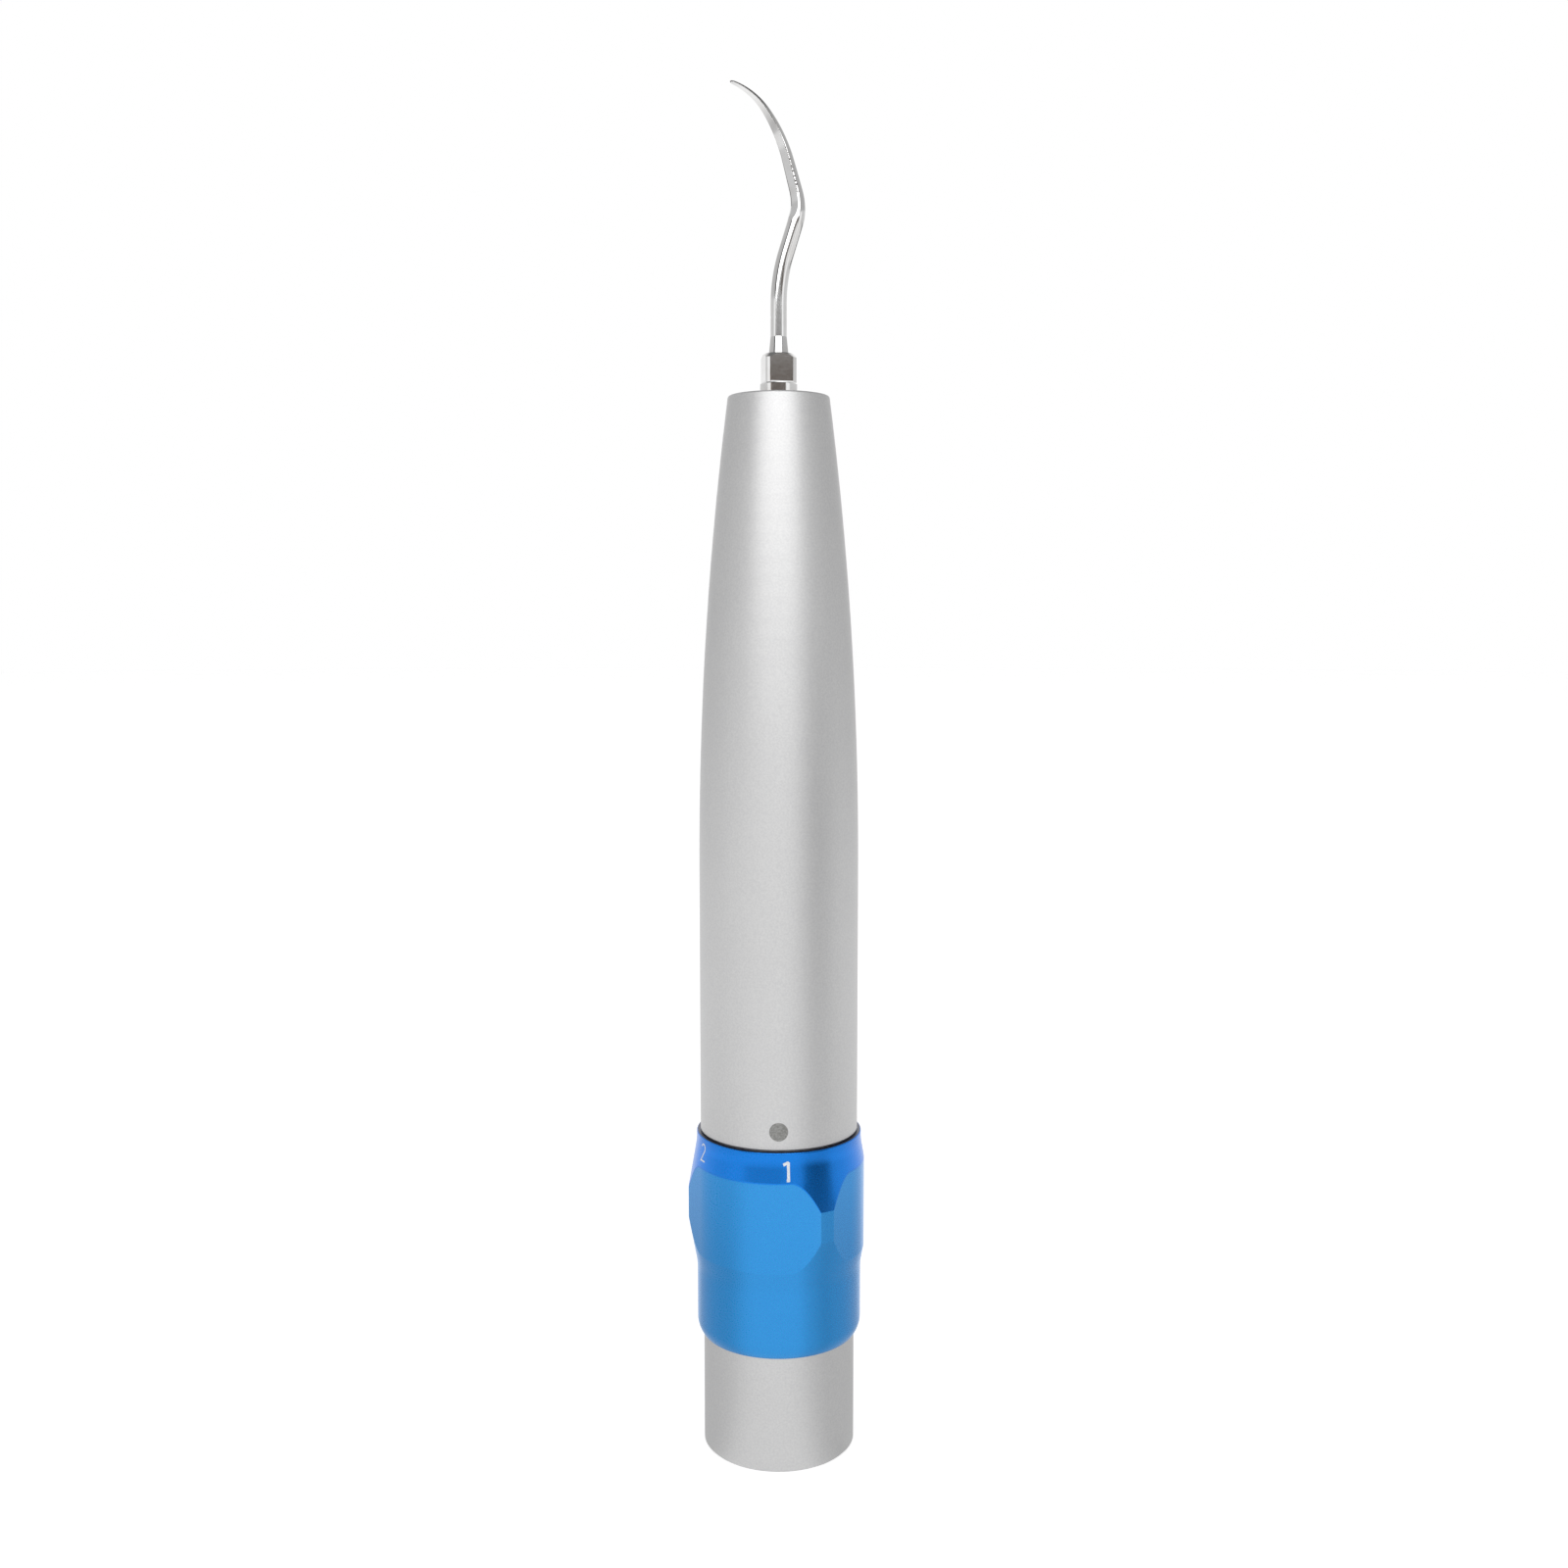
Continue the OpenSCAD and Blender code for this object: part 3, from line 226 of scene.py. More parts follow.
table_radius = 3
table_white, start = new_finish("table top")
place = start.node("TexCoord", take="Object")
x, y = place.axes()[:2]
reach = start.node("VectorMath", {"operation": "LENGTH"}, {0: place}, take="Value")
bearing, around = compass(start, x, y)
# The glow of the table as the metal sees it, with painted shade: dimmer near the handpiece and far
# off at its sides
in_front = reach.ramp((0.0, 0.85), (0.05, 0.9), (0.12, 1.0), (0.4, 0.92), (1.0, 0.9))
beside = reach.ramp((0.0, 0.64), (0.06, 0.6), (0.15, 1.0), (0.35, 0.95), (0.7, 0.55),
    (0.95, 0.6), (1.0, 0.85))
aside = around.between(0.17, 0.4)
behind = around.between(0.7, 0.86) * (1 - reach.between(1.2, 1.4))
seen_table = (in_front * (1 - aside) + beside * aside) * (1 - behind) + behind
# Painted shade: a dimmer patch on the table towards the card, on the right
dim = bearing.between(25, 38) * (1 - bearing.between(60, 75)) \
    * (0.15 + reach.between(0.1, 0.3) * 0.15) * (1 - reach.between(0.9, 1.1))
eye, glance, through = rays(start)
matt = start.node("BsdfPrincipled", {}, {
    "Base Color": noise(start, 900, 2).shades((0.88, 0.88, 0.88), (0.92, 0.92, 0.92)),
    "Roughness": 0.9, "Specular IOR Level": 0.1,
    "Emission Color": (1, 1, 1, 1), "Emission Strength": eye * 0.5})
mirrored = start.node("Emission", {}, {"Strength": seen_table * (1 - dim)})
both = start.node("MixShader", {}, {0: glance + through, 1: matt, 2: mirrored})
start.node("OutputMaterial", {}, {"Surface": both})
table = alone(bpy.ops.mesh.primitive_circle_add,
    vertices=96, radius=table_radius, fill_type="NGON", location=(0, 0, 0))
table.name = "table"
table.data.materials.append(table_white)

# ---------------------------------------------------------------- card
# A card of dark grey board hangs close over the table, to the right of the camera. Only the
# metal sees it, and it casts no shadow.


def surface(start, values):
    """Ends a material in one shader with these values."""
    shader = start.node("BsdfPrincipled", {}, values)
    start.node("OutputMaterial", {}, {"Surface": shader})


card_size = (135 * mm, 76 * mm, 1)
card_place = (156 * mm, -125 * mm, 48 * mm)
card_turn = 51
card_grey, start = new_finish("dark card")
surface(start, {
    "Base Color": noise(start, 3000, 2).shades((0.12, 0.12, 0.13), (0.16, 0.16, 0.16)),
    "Roughness": 0.9})
card = alone(bpy.ops.mesh.primitive_plane_add, size=1)
card.scale = card_size
card.rotation_euler = (math.radians(90), 0, math.radians(card_turn))
card.location = card_place
bpy.ops.object.transform_apply()
card.name = "card"
card.data.materials.append(card_grey)
card.visible_camera = card.visible_diffuse = card.visible_shadow = False

# ---------------------------------------------------------------- rear sleeve
# The steel sleeve at the rear carries the ring and the handle's thread. It is turned, then
# blasted with fine beads, which leaves an even satin without a direction.


def rough(height, strength, depth):
    """The surface's small unevenness: its height, how much it shows, and its depth."""
    return height.node("Bump", {}, {"Strength": strength, "Distance": depth, "Height": height})


def dress(finish, *names):
    """Gives CAD nodes their finish."""
    for name in names:
        nodes[name].material_slots[0].material = finish


satin_grain = 0.2 * mm
satin_steel, start = new_finish("satin steel")
grain = noise(start, 1 / satin_grain, 3)
shade = noise(start, 160, 2) * 0.15 + grain * 0.85
surface(start, {
    "Base Color": shade.between(0.25, 0.75).shades((0.65, 0.65, 0.655), (0.73, 0.73, 0.73)),
    "Metallic": 1, "Roughness": 0.45 + grain * 0.1, "Normal": rough(grain, 0.2, 0.012 * mm)})
dress(satin_steel, "rear_sleeve")

# ---------------------------------------------------------------- valve core
# The steel core is turned in the lathe and left as cut: fine rings run round its sides and
# round its end faces. The tubes, the screws and the spring are of the same bright steel.


def off_axis(start, place):
    """The distance from the handpiece's axis."""
    flat = start.node("VectorMath", {"operation": "MULTIPLY"}, {0: place, 1: (1, 1, 0)})
    return start.node("VectorMath", {"operation": "LENGTH"}, {0: flat}, take="Value")


def turning_lines(start, spacing):
    """Fine rings round the handpiece's axis, on round faces and on flat ends."""
    place = start.node("TexCoord", take="Object")
    return start.node("TexNoise", {"noise_dimensions": "1D"},
        {"W": place.axes()[2] + off_axis(start, place), "Scale": 1 / spacing, "Detail": 3})


turned_steel, start = new_finish("turned steel")
lines = turning_lines(start, 0.12 * mm)
surface(start, {"Base Color": lines.shades((0.5, 0.51, 0.53), (0.7, 0.7, 0.71)),
    "Metallic": 1, "Roughness": 0.2 + lines * 0.2, "Normal": rough(lines, 0.3, 0.01 * mm)})
dress(turned_steel, "valve_core", "manifold_screws", "drive_air_tube", "water_tube",
    "detent_spring", "cartridge_tube")

# ---------------------------------------------------------------- dowel and small steel pieces
# Hardened steel pieces with a thin black oxide: the dowel, the key screw, the circlip, the rotor
# ring and the nose bush. The oxide is a little uneven and shows brown where it is thin.
dark_steel, start = new_finish("black oxide steel")
lines = turning_lines(start, 0.1 * mm)
cloud = noise(start, 700, 4)
surface(start, {
    "Base Color": cloud.between(0.3, 0.7).shades((0.1, 0.1, 0.11), (0.2, 0.19, 0.17)),
    "Metallic": 1, "Roughness": 0.3 + cloud * 0.2, "Normal": rough(lines, 0.2, 0.008 * mm)})
dress(dark_steel, "dowel_pin", "key_screw", "rotor_circlip", "rotor_ring", "nose_bush")

# ---------------------------------------------------------------- seals and dampers
# Moulded black rubber rings and pads, matt, with a fine bloom on them. They are pressed into
# their grooves and seats, and stay there by their own spring.
black_rubber, start = new_finish("black rubber")
bloom = noise(start, 600, 3)
surface(start, {
    "Base Color": bloom.between(0.35, 0.8).shades((0.016, 0.016, 0.017), (0.05, 0.05, 0.052)),
    "Roughness": 0.5 + bloom * 0.25, "Normal": rough(noise(start, 9000, 3), 0.3, 0.01 * mm)})
dress(black_rubber, "socket_seals", "neck_seals", "manifold_gasket", "body_seal_ring",
    "rear_damper", "front_damper", "water_seal")

# ---------------------------------------------------------------- throttle sleeve
# The metering sleeve under the ring is turned from tan bearing plastic, slightly waxy. The key
# screw ties it to the ring.
tan_plastic, start = new_finish("tan bearing plastic")
lines = turning_lines(start, 0.15 * mm)
surface(start, {"Base Color": lines.shades((0.44, 0.35, 0.21), (0.54, 0.45, 0.29)),
    "Roughness": 0.38 + lines * 0.15, "Normal": rough(lines, 0.2, 0.01 * mm)})
dress(tan_plastic, "throttle_sleeve")

# ---------------------------------------------------------------- power ring
# The grip ring is turned and milled from aluminium, blasted and anodised blue. The colour lies
# under a clear hard skin. Shade is painted into it: a deeper blue on the slope over the ribs and
# pads and on the neck above it, and a line almost black at the upper rim. It is a little paler on
# the crests of the three ribs.
blue_grain = 0.12 * mm
ring_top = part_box("power_ring")[1][2]
rib_reach = 9.6 * mm
slope_foot = 27.95 * mm
slope_lean = 0.177
neck_foot = 32.2 * mm

blue_anodised, start = new_finish("blue anodised aluminium")
place = start.node("TexCoord", take="Object")
reach = off_axis(start, place)
height = place.axes()[2]
grain = noise(start, 1 / blue_grain, 3)
crest = reach.between(rib_reach - 0.3 * mm, rib_reach) * grain.between(0.4, 0.7)
off_slope = start.maths("ABSOLUTE", reach + (height - slope_foot) * slope_lean - rib_reach)
on_slope = height.between(slope_foot - 0.02 * mm, slope_foot) \
    * (1 - off_slope.between(0.015 * mm, 0.04 * mm))
# Painted shade: the slope over the ribs and pads, and the neck above it, are given a deeper blue
painted_shade_zone = start.maths("MAXIMUM", on_slope, height.between(neck_foot, neck_foot + 0.4 * mm))
tint = grain.between(0.3, 0.7).shades((0.034, 0.31, 0.77), (0.04, 0.35, 0.83))
# Mixed over the blasted tint: the painted shade, the paler crests, and the painted shade line at
# the rim
for where, colour in (
        (painted_shade_zone, (0.006, 0.225, 0.8)),
        (crest * 0.05, (0.3, 0.6, 0.9)),
        # Painted shade: a line almost black round the top of the rim
        (height.between(ring_top - 0.03 * mm, ring_top - 0.01 * mm), (0.004, 0.012, 0.05))):
    tint = start.node("Mix", {"data_type": "RGBA"},
        {"Factor": where, "A": tint, "B": (*colour, 1)}, take="Result")
surface(start, {"Base Color": tint, "Metallic": 1, "Roughness": 0.24 + grain * 0.06,
    "Coat Weight": 0.3, "Coat Roughness": 0.22, "Normal": rough(grain, 0.12, 0.008 * mm)})
dress(blue_anodised, "power_ring")

# ---------------------------------------------------------------- ring numbers
# A plain 1, 2 and 3 stand over the three pads. They are engraved and filled with white enamel,
# which sits level with the anodised skin and has slightly ragged edges.
number_height = 2.0 * mm
number_rise = 0.012 * mm
number_reach = 9 * mm
# A stroke is drawn out in short steps, from a plane that is squeezed to this share of its width
pen_step = 0.14 * mm
pen_thickness = 0.1
# The azimuth, the foot and the width of the strokes of each number
number_places = {"1": (6.2, 31.35 * mm, 0.3 * mm), "2": (-62.8, 31.85 * mm, 0.15 * mm),
    "3": (-137.8, 31.6 * mm, 0.26 * mm)}
# Each stroke: where it starts, its heading in degrees, and its moves as lengths and turns.
# Places and lengths are shares of the number's height.
number_strokes = {
    "1": [((-0.24, 0.84), 22, [(0.3, 0)]), ((0.02, 0.96), -90, [(0.96, 0)]),
        ((-0.07, 0.05), 0, [(0.12, 0)])],
    "2": [((-0.27, 0.72), 80, [(0.72, -200), (0.64, 0)]), ((-0.23, 0.03), 0, [(0.48, 0)])],
    "3": [((-0.26, 0.8), 60, [(0.72, -220)]), ((-0.02, 0.54), 0, [(0.78, -225)])],
}

white_enamel, start = new_finish("white enamel")
grain = noise(start, 6000, 3)
surface(start, {
    "Base Color": grain.between(0.3, 0.65).shades((0.7, 0.76, 0.84), (0.9, 0.91, 0.93)),
    "Roughness": 0.3 + grain * 0.2, "Normal": rough(grain, 0.3, 0.01 * mm)})


def only(thing):
    """Selects one object, and makes it the active one."""
    bpy.ops.object.select_all(action="DESELECT")
    thing.select_set(True)
    bpy.context.view_layer.objects.active = thing


def edit_all():
    """Goes into edit mode with the whole mesh selected."""
    bpy.ops.object.mode_set(mode="EDIT")
    bpy.ops.mesh.select_all(action="SELECT")


def edit_some(thing, kind, wanted):
    """Goes into edit mode with only those vertices, edges or polygons that wanted picks."""
    bpy.ops.object.mode_set(mode="EDIT")
    bpy.ops.mesh.select_mode(type={"vertices": "VERT", "edges": "EDGE", "polygons": "FACE"}[kind])
    bpy.ops.mesh.select_all(action="DESELECT")
    bpy.ops.object.mode_set(mode="OBJECT")
    for part in getattr(thing.data, kind):
        part.select = wanted(part)
    bpy.ops.object.mode_set(mode="EDIT")


def edited():
    """Goes back to object mode."""
    bpy.ops.object.mode_set(mode="OBJECT")


def moved(x, y, z):
    """Moves what is selected by this much."""
    bpy.ops.transform.translate(value=(x, y, z))


def turned(degrees, axis, centre=(0, 0, 0)):
    """Turns what is selected, the usual way round, about an axis through centre."""
    bpy.ops.transform.rotate(
        value=-math.radians(degrees), orient_axis=axis, center_override=centre)


def sized(x, y, z, centre=(0, 0, 0)):
    """Scales what is selected along each axis, about centre."""
    bpy.ops.transform.resize(value=(x, y, z), center_override=centre)


def drawn_out(x, y, z):
    """Extrudes what is selected by this much."""
    bpy.ops.mesh.extrude_region_move(TRANSFORM_OT_translate={"value": (x, y, z)})


def applied(thing, kind, **settings):
    """Adds a modifier with these settings and applies it."""
    only(thing)
    modifier = thing.modifiers.new(kind.lower(), kind)
    for name, setting in settings.items():
        setattr(modifier, name, setting)
    bpy.ops.object.modifier_apply(modifier=modifier.name)


def pen_stroke(width, foot, heading, moves):
    """A flat stroke of the pen: one edge of a small plane, extruded along its moves."""
    stroke = alone(bpy.ops.mesh.primitive_plane_add, size=width)
    edit_all()
    sized(pen_thickness, 1, 1)
    edited()
    corners = stroke.data.vertices
    edit_some(stroke, "edges", lambda edge: all(corners[end].co.x > 0 for end in edge.vertices))
    angle, x, y = 0, width * pen_thickness / 2, 0
    for length, turn in moves:
        steps = math.ceil(length * number_height / pen_step)
        for _ in range(steps):
            angle += math.radians(turn / steps)
            ahead = [length * number_height / steps * way
                for way in (math.cos(angle), math.sin(angle), 0)]
            drawn_out(*ahead)
            x, y = x + ahead[0], y + ahead[1]
            turned(turn / steps, "Z", (x, y, 0))
    bpy.ops.mesh.select_all(action="SELECT")
    turned(heading, "Z")
    moved(foot[0] * number_height, foot[1] * number_height, 0)
    edited()
    return stroke


for number, strokes in number_strokes.items():
    azimuth, foot, width = number_places[number]
    written = [pen_stroke(width, *stroke) for stroke in strokes]
    only(written[0])
    for stroke in written:
        stroke.select_set(True)
    bpy.ops.object.join()
    numeral = bpy.context.object
    numeral.name = "ring_number_" + number
    edit_all()
    turned(90, "X")
    moved(0, -number_reach, foot)
    turned(azimuth, "Z")
    edited()
    applied(numeral, "SHRINKWRAP", target=nodes["power_ring"], wrap_mode="ABOVE_SURFACE",
        offset=number_rise)
    applied(numeral, "SOLIDIFY", thickness=3 * number_rise, offset=-1)
    numeral.data.materials.append(white_enamel)
    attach(numeral, "ring_group")

# ---------------------------------------------------------------- glide washer
# A thin white plastic washer that the ring turns against. It is turned from a rod, and lies
# loose between the ring and the tail of the handle.
white_plastic, start = new_finish("white bearing plastic")
lines = turning_lines(start, 0.12 * mm)
surface(start, {"Base Color": lines.shades((0.78, 0.77, 0.73), (0.86, 0.85, 0.82)),
    "Roughness": 0.35 + lines * 0.15, "Normal": rough(lines, 0.2, 0.008 * mm)})
dress(white_plastic, "glide_washer")

# ---------------------------------------------------------------- manifold and cartridge ends
# Brass pieces turned in the lathe: the manifold that closes the valve, the nut that clamps the
# cartridge, and the cap with the air nozzle. They are a little browned by age.
brass, start = new_finish("brass")
lines = turning_lines(start, 0.12 * mm)
cloud = noise(start, 400, 4)
browned = (cloud * 0.6 + lines * 0.4).between(0.3, 0.7)
surface(start, {"Base Color": browned.shades((0.6, 0.4, 0.15), (0.82, 0.62, 0.28)),
    "Metallic": 1, "Roughness": 0.22 + cloud * 0.2, "Normal": rough(lines, 0.3, 0.01 * mm)})
dress(brass, "air_manifold", "clamp_nut", "cartridge_cap")

# ---------------------------------------------------------------- handle shell
# The slim handle is turned from a tube, and blasted in one go with the sleeve, so it has the
# same satin. The places for words on it are left bare.
dress(satin_steel, "handle_shell")

# ---------------------------------------------------------------- index dot
# The dot that the numbers are set to is grey enamel in a shallow round pocket, level with the
# steel, with a fine grain.
grey_enamel, start = new_finish("grey enamel")
grain = noise(start, 5000, 3)
surface(start, {
    "Base Color": grain.between(0.3, 0.7).shades((0.22, 0.22, 0.21), (0.34, 0.34, 0.33)),
    "Roughness": 0.5 + grain * 0.15, "Normal": rough(grain, 0.3, 0.01 * mm)})
dress(grey_enamel, "index_dot")

# ---------------------------------------------------------------- flexible air sleeve
# A short sleeve of milky silicone joins the air nozzle to the shaft that vibrates. It is
# moulded, and holds on both by its own stretch.
white_silicone, start = new_finish("white silicone")
grain = noise(start, 3000, 3)
surface(start, {"Base Color": grain.shades((0.72, 0.72, 0.7), (0.84, 0.84, 0.82)),
    "Roughness": 0.4 + grain * 0.15, "Subsurface Weight": 0.2, "Subsurface Scale": 0.3 * mm,
    "Normal": rough(grain, 0.15, 0.01 * mm)})
dress(white_silicone, "flex_air_sleeve")

# ---------------------------------------------------------------- vibrating shaft
# The hollow shaft is hardened, ground and polished. Its collar is the bright ring that shows at
# the nose. The detent ball is of the same polished steel.


def polish(start):
    """The fine grain and the faint smears of polished steel, and its colour."""
    smear = noise(start, 450, 3).between(0.3, 0.7)
    return noise(start, 3500, 4), smear.shades((0.78, 0.77, 0.76), (0.86, 0.86, 0.86))


polished_steel, start = new_finish("polished steel")
grain, steel = polish(start)
surface(start, {"Base Color": steel, "Metallic": 1, "Roughness": 0.06 + grain * 0.05,
    "Normal": rough(grain, 0.12, 0.008 * mm)})
dress(polished_steel, "vibrator_shaft", "detent_ball")

# ---------------------------------------------------------------- scaler tip
# The tip is hardened steel, with a threaded stub, a square for the key, a bent shank and a
# sickle blade. It is turned straight, its flats are milled, and it is bent and polished. A narrow
# chamfer along the edge of the near flat takes black steel, a painted line of shade along that
# edge. The cutter left ragged ticks at the foot of the near flat.
tip_seat = 111.42 * mm
square_across = 3.18 * mm
square_round = 3.94 * mm
square_height = 3.0 * mm
square_chamfer = 0.45 * mm
square_turn = 13
foot_gap = 0.06 * mm
foot_bevel = 0.14 * mm
foot_lean = 0.25
edge_break = 0.03 * mm
root_radius = 1.015 * mm
root_height = 1.7 * mm
shank_radius = 0.83 * mm
blade_radius = 0.7 * mm
blade_curve = 1.6
point_radius = 0.175 * mm
point_round = 0.5 * mm
bar_step = 0.5 * mm
mill_start = 13.2 * mm
mill_length = 3.8 * mm
# The bends as lengths in millimetres and turns in degrees, from the square to the point
tip_bends = [(5, 0), (5.1, 17.5), (2.8, 0), (3.5, -33), (3, 0), (5.3, -18), (4.6, -35.5)]
tip_length = sum(length for length, turn in tip_bends) * mm
tip_top = tip_seat + square_height
flat_start = 15.2 * mm
flat_depth = 0.49 * mm
flat_end_depth = 0.12 * mm
# Two flats and a narrow chamfer on the near side of the edge where they meet, which takes black
# steel as a painted line of shade: which way each one faces, and its distance from the axis at
# its start and at the point
chamfer_facing = 20
flats = [(45, flat_depth, flat_end_depth), (-45, flat_depth, flat_end_depth),
    (chamfer_facing, 0.576 * mm, 0.231 * mm)]
cutter_radius = 6 * mm
outlet_radius = 0.25 * mm
outlet_place = (0.7 * mm, 0, 3.6 * mm)
stub_foot = 105.7 * mm
thread_radius = 1.2 * mm
thread_pitch = 0.4 * mm
thread_depth = 0.2 * mm
thread_turns = 12
tick_spacing = 0.17 * mm
tick_reach = 0.2 * mm

# The marks are drawn on the straight bar: each corner keeps the place that it had before the
# bending. The round back lies under_flat below the plane of the near flat.
tip_steel, start = new_finish("tip steel")
grain, steel = polish(start)
across, front, along = start.node("Attribute", {"attribute_name": "unbent"}, take="Vector").axes()
flat_slope = (flat_depth - flat_end_depth) / (tip_length - flat_start)
under_flat = flat_depth - (along - flat_start) * flat_slope - (across + front) * math.sqrt(0.5)
teeth = start.node("TexNoise", {"noise_dimensions": "1D"},
    {"W": along, "Scale": 1 / tick_spacing, "Detail": 1}).between(0.46, 0.62) \
    * along.between(15.4 * mm, 16.4 * mm) * (1 - along.between(17.5 * mm, 21.5 * mm))
marks = under_flat.between(0.002 * mm, 0.005 * mm) * (1 - across.between(0.2 * mm, 0.21 * mm)) \
    * (1 - (under_flat - teeth * tick_reach).between(0.04 * mm, 0.06 * mm)) \
    * along.between(15.6 * mm, 16.2 * mm) * 0.95
surface(start, {
    "Base Color": start.node("Mix", {"data_type": "RGBA"},
        {"Factor": marks, "A": steel, "B": (0.03, 0.022, 0.018, 1)}, take="Result"),
    "Metallic": 1, "Roughness": 0.06 + grain * 0.05 + marks * 0.4,
    "Normal": rough(grain + marks, 0.12, 0.008 * mm)})


def cut(thing, cutter):
    """Cuts one mesh out of another, and puts the cutter away."""
    applied(thing, "BOOLEAN", operation="DIFFERENCE", object=cutter, solver="EXACT")
    bpy.data.objects.remove(cutter)


def sawn(place, facing, **settings):
    """Cuts the whole mesh along a plane through place."""
    bpy.ops.mesh.select_all(action="SELECT")
    bpy.ops.mesh.bisect(plane_co=place, plane_no=facing, threshold=0.001 * mm, **settings)


def bar_radius(along):
    """The radius that the bar is turned to, at a length along it."""
    share = min(1, max(0, (along - mill_start) / mill_length))
    into_blade = share * share * (3 - 2 * share)
    mill_end = mill_start + mill_length
    down_blade = max(0, (along - mill_end) / (tip_length - mill_end))
    tapered = blade_radius - (blade_radius - point_radius) * down_blade ** blade_curve
    end = max(0, 1 - (tip_length - along) / point_round)
    rounded = math.sqrt(max(0.02, 1 - end * end))
    return (shank_radius + (tapered - shank_radius) * into_blade) * rounded


# The straight bar, drawn out in half millimetres, and in shorter steps round the point
blade = alone(bpy.ops.mesh.primitive_circle_add,
    vertices=48, radius=shank_radius, fill_type="NGON")
edit_all()
ring_places = [bar_step * k for k in range(1, 58)] \
    + [tip_length - point_round * end for end in (0.8, 0.6, 0.4, 0.25, 0.1, 0)]
along = 0
for further in ring_places:
    drawn_out(0, 0, further - along)
    size = bar_radius(further) / bar_radius(along)
    sized(size, size, 1, (0, 0, further))
    along = further
bpy.ops.mesh.select_all(action="SELECT")
bpy.ops.mesh.normals_make_consistent(inside=False)
edited()

# Round cutters that are drawn out to the point mill the flats, and run out in a curve
for facing, depth, end_depth in flats:
    cutter = alone(bpy.ops.mesh.primitive_cylinder_add, vertices=96, radius=cutter_radius,
        depth=6 * mm, rotation=(math.pi / 2, 0, 0), location=(depth + cutter_radius, 0, flat_start))
    edit_some(cutter, "vertices", lambda corner: corner.co.z > flat_start - 0.01 * mm)
    moved(end_depth - depth, 0, tip_length - flat_start)
    bpy.ops.mesh.select_all(action="SELECT")
    turned(facing, "Z")
    edited()
    cut(blade, cutter)
blade.data.materials.append(tip_steel)
# The chamfer's faces take the black oxide steel, a painted dark line of shade along the edge
blade.data.materials.append(dark_steel)
chamfer_way = (math.cos(math.radians(chamfer_facing)), math.sin(math.radians(chamfer_facing)))
same_way = 0.998
for face in blade.data.polygons:
    likeness = face.normal.x * chamfer_way[0] + face.normal.y * chamfer_way[1]
    if likeness > same_way and face.center.z > flat_start:
        face.material_index = 1

# The water outlet, drilled into the side that the point bends to
cut(blade, alone(bpy.ops.mesh.primitive_cylinder_add, vertices=32, radius=outlet_radius,
    depth=1.6 * mm, rotation=(0, math.radians(60), 0), location=outlet_place))

# The flats are cut across halfway between the steps, so that they bend in a smooth curve
only(blade)
edit_all()
for k in range(28, 60):
    sawn((0, 0, (k - 0.5) * bar_step), (0, 0, 1))
edited()
unbent = blade.data.attributes.new("unbent", "FLOAT_VECTOR", "POINT")
unbent.data.foreach_set("vector", [part for corner in blade.data.vertices for part in corner.co])

# The path that the bar is bent along
bend_step = 0.25
x, z, lean = 0, tip_top, 0
path = [(x, 0, z, 1)]
for length, turn in tip_bends:
    steps = math.ceil(length / bend_step)
    for _ in range(steps):
        lean += math.radians(turn / steps / 2)
        x += length * mm / steps * math.sin(lean)
        z += length * mm / steps * math.cos(lean)
        lean += math.radians(turn / steps / 2)
        path.append((x, 0, z, 1))
bend = bpy.data.curves.new("tip bend", "CURVE")
bend.dimensions = "3D"
bend.twist_mode = "MINIMUM"
bend.splines.new("POLY").points.add(len(path) - 1)
for point, where in zip(bend.splines[0].points, path):
    point.co = where
bend_guide = bpy.data.objects.new("tip bend", bend)
bpy.context.scene.collection.objects.link(bend_guide)
applied(blade, "CURVE", object=bend_guide, deform_axis="POS_Z")
bpy.data.objects.remove(bend_guide)

# The square for the key: a turned bar with a chamfered shoulder, cut off flat on four sides.
# The foot of each flat slopes in a little, over a small gap to the collar.
square = alone(bpy.ops.mesh.primitive_cylinder_add, vertices=96, radius=square_round / 2,
    depth=square_height - foot_gap, location=(0, 0, tip_seat + (square_height + foot_gap) / 2))
edit_some(square, "polygons", lambda face: face.normal.z > 0.9)
moved(0, 0, -square_chamfer)
drawn_out(0, 0, square_chamfer)
shrink = 1 - 2 * square_chamfer / square_round
sized(shrink, shrink, 1, (0, 0, tip_top))
ways_out = [(math.cos(angle), math.sin(angle)) for angle in
    (math.radians(square_turn + 90 * k) for k in range(4))]
for out in ways_out:
    middle = [square_across / 2 * part for part in out]
    sawn((*middle, 0), (*out, 0), use_fill=True, clear_outer=True)
    sawn((*middle, tip_seat + foot_gap + foot_bevel), (*out, -foot_lean),
        use_fill=True, clear_outer=True)
edited()


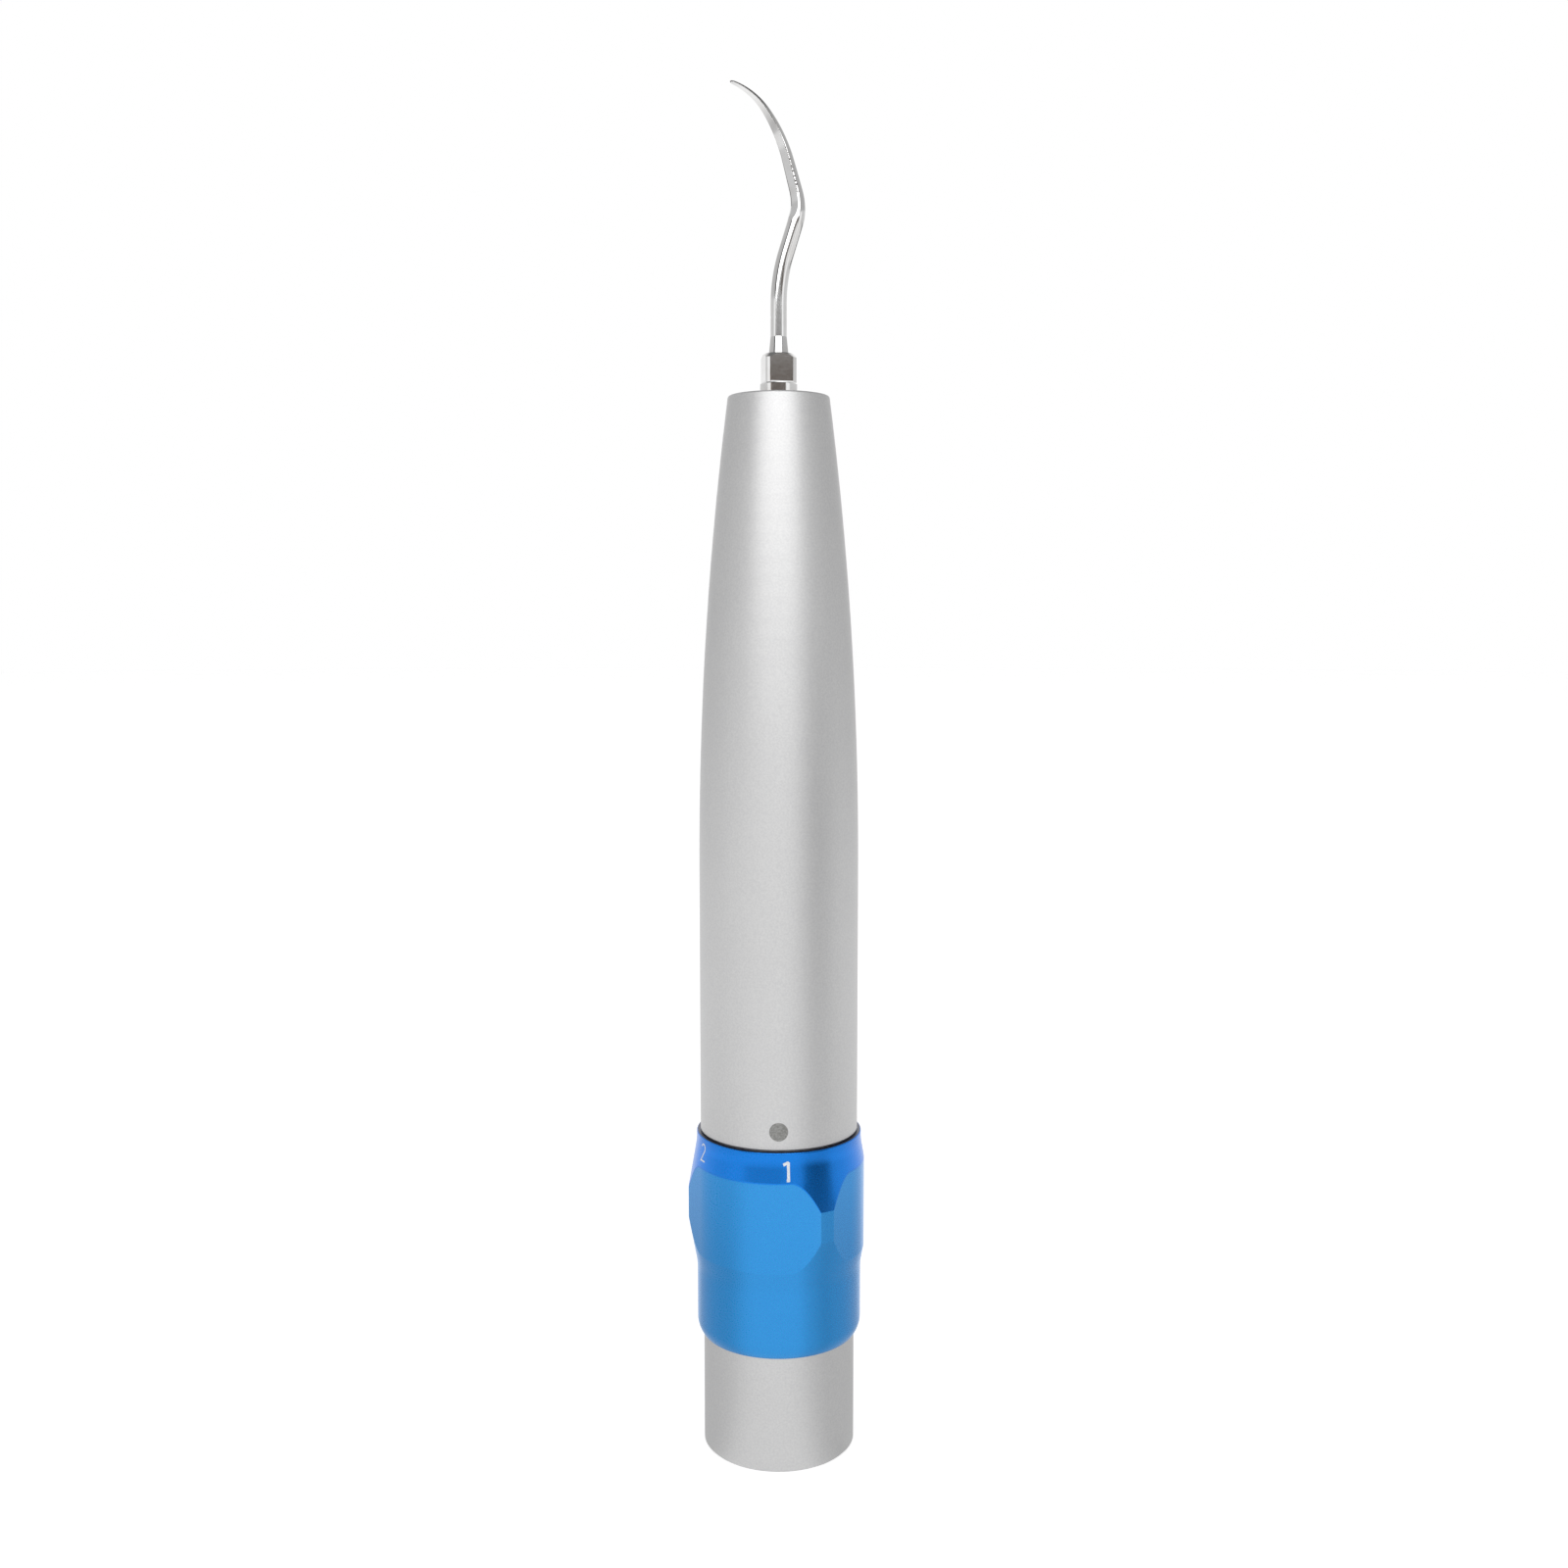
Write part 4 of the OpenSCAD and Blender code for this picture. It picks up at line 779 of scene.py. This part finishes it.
def beside_a_flat(edge):
    """Whether an edge of the square stands upright at the side of one of its flats."""
    low, top = (square.data.vertices[end].co for end in edge.vertices)
    out = max(low.x * way[0] + low.y * way[1] for way in ways_out)
    return abs(low.z - top.z) > 2 * mm and abs(out - square_across / 2) < 0.001 * mm


# The upright edges of the flats are broken with a stone
edit_some(square, "edges", beside_a_flat)
bpy.ops.mesh.bevel(offset=edge_break, segments=1)
edited()

# The root: a short cone that joins the square to the shank, and ends a hair outside it
root = alone(bpy.ops.mesh.primitive_cone_add, vertices=64, radius1=root_radius,
    radius2=shank_radius * 1.01, depth=root_height, location=(0, 0, tip_top + root_height / 2))

# The stub below the square. Its thread is a small plane that stands half in the stub, narrow at
# its outer edge, and is wound up the stub.
stub_top = tip_seat + 0.5 * mm
core_radius = thread_radius - thread_depth
stub = alone(bpy.ops.mesh.primitive_cylinder_add, vertices=48, radius=core_radius,
    depth=stub_top - stub_foot, location=(0, 0, (stub_top + stub_foot) / 2))
ridge_height = stub_foot + 0.75 * thread_pitch
ridge_steps = thread_turns * 32
ridge = alone(bpy.ops.mesh.primitive_plane_add, size=thread_pitch, rotation=(math.pi / 2, 0, 0))
edit_all()
sized(2 * thread_depth / thread_pitch, 1, 0.95)
moved(core_radius, 0, ridge_height)
edited()
edit_some(ridge, "vertices", lambda corner: corner.co.x > core_radius)
sized(1, 1, 0.2, (thread_radius, 0, ridge_height))
edited()
applied(ridge, "SCREW", angle=2 * math.pi * thread_turns, screw_offset=thread_pitch * thread_turns,
    steps=ridge_steps, render_steps=ridge_steps, iterations=1, use_merge_vertices=False)

# One piece, smooth on its round stretches. The large faces of the square are flat.
only(blade)
for part in (square, root, stub, ridge):
    part.data.materials.append(tip_steel)
    part.select_set(True)
bpy.ops.object.join()
blade.name = "scaling_tip"
bpy.ops.object.shade_smooth_by_angle(angle=math.radians(22))
large_face = mm * mm
for face in blade.data.polygons:
    if face.area > large_face:
        face.use_smooth = False
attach(blade, "tip")
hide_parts("scaler_tip")
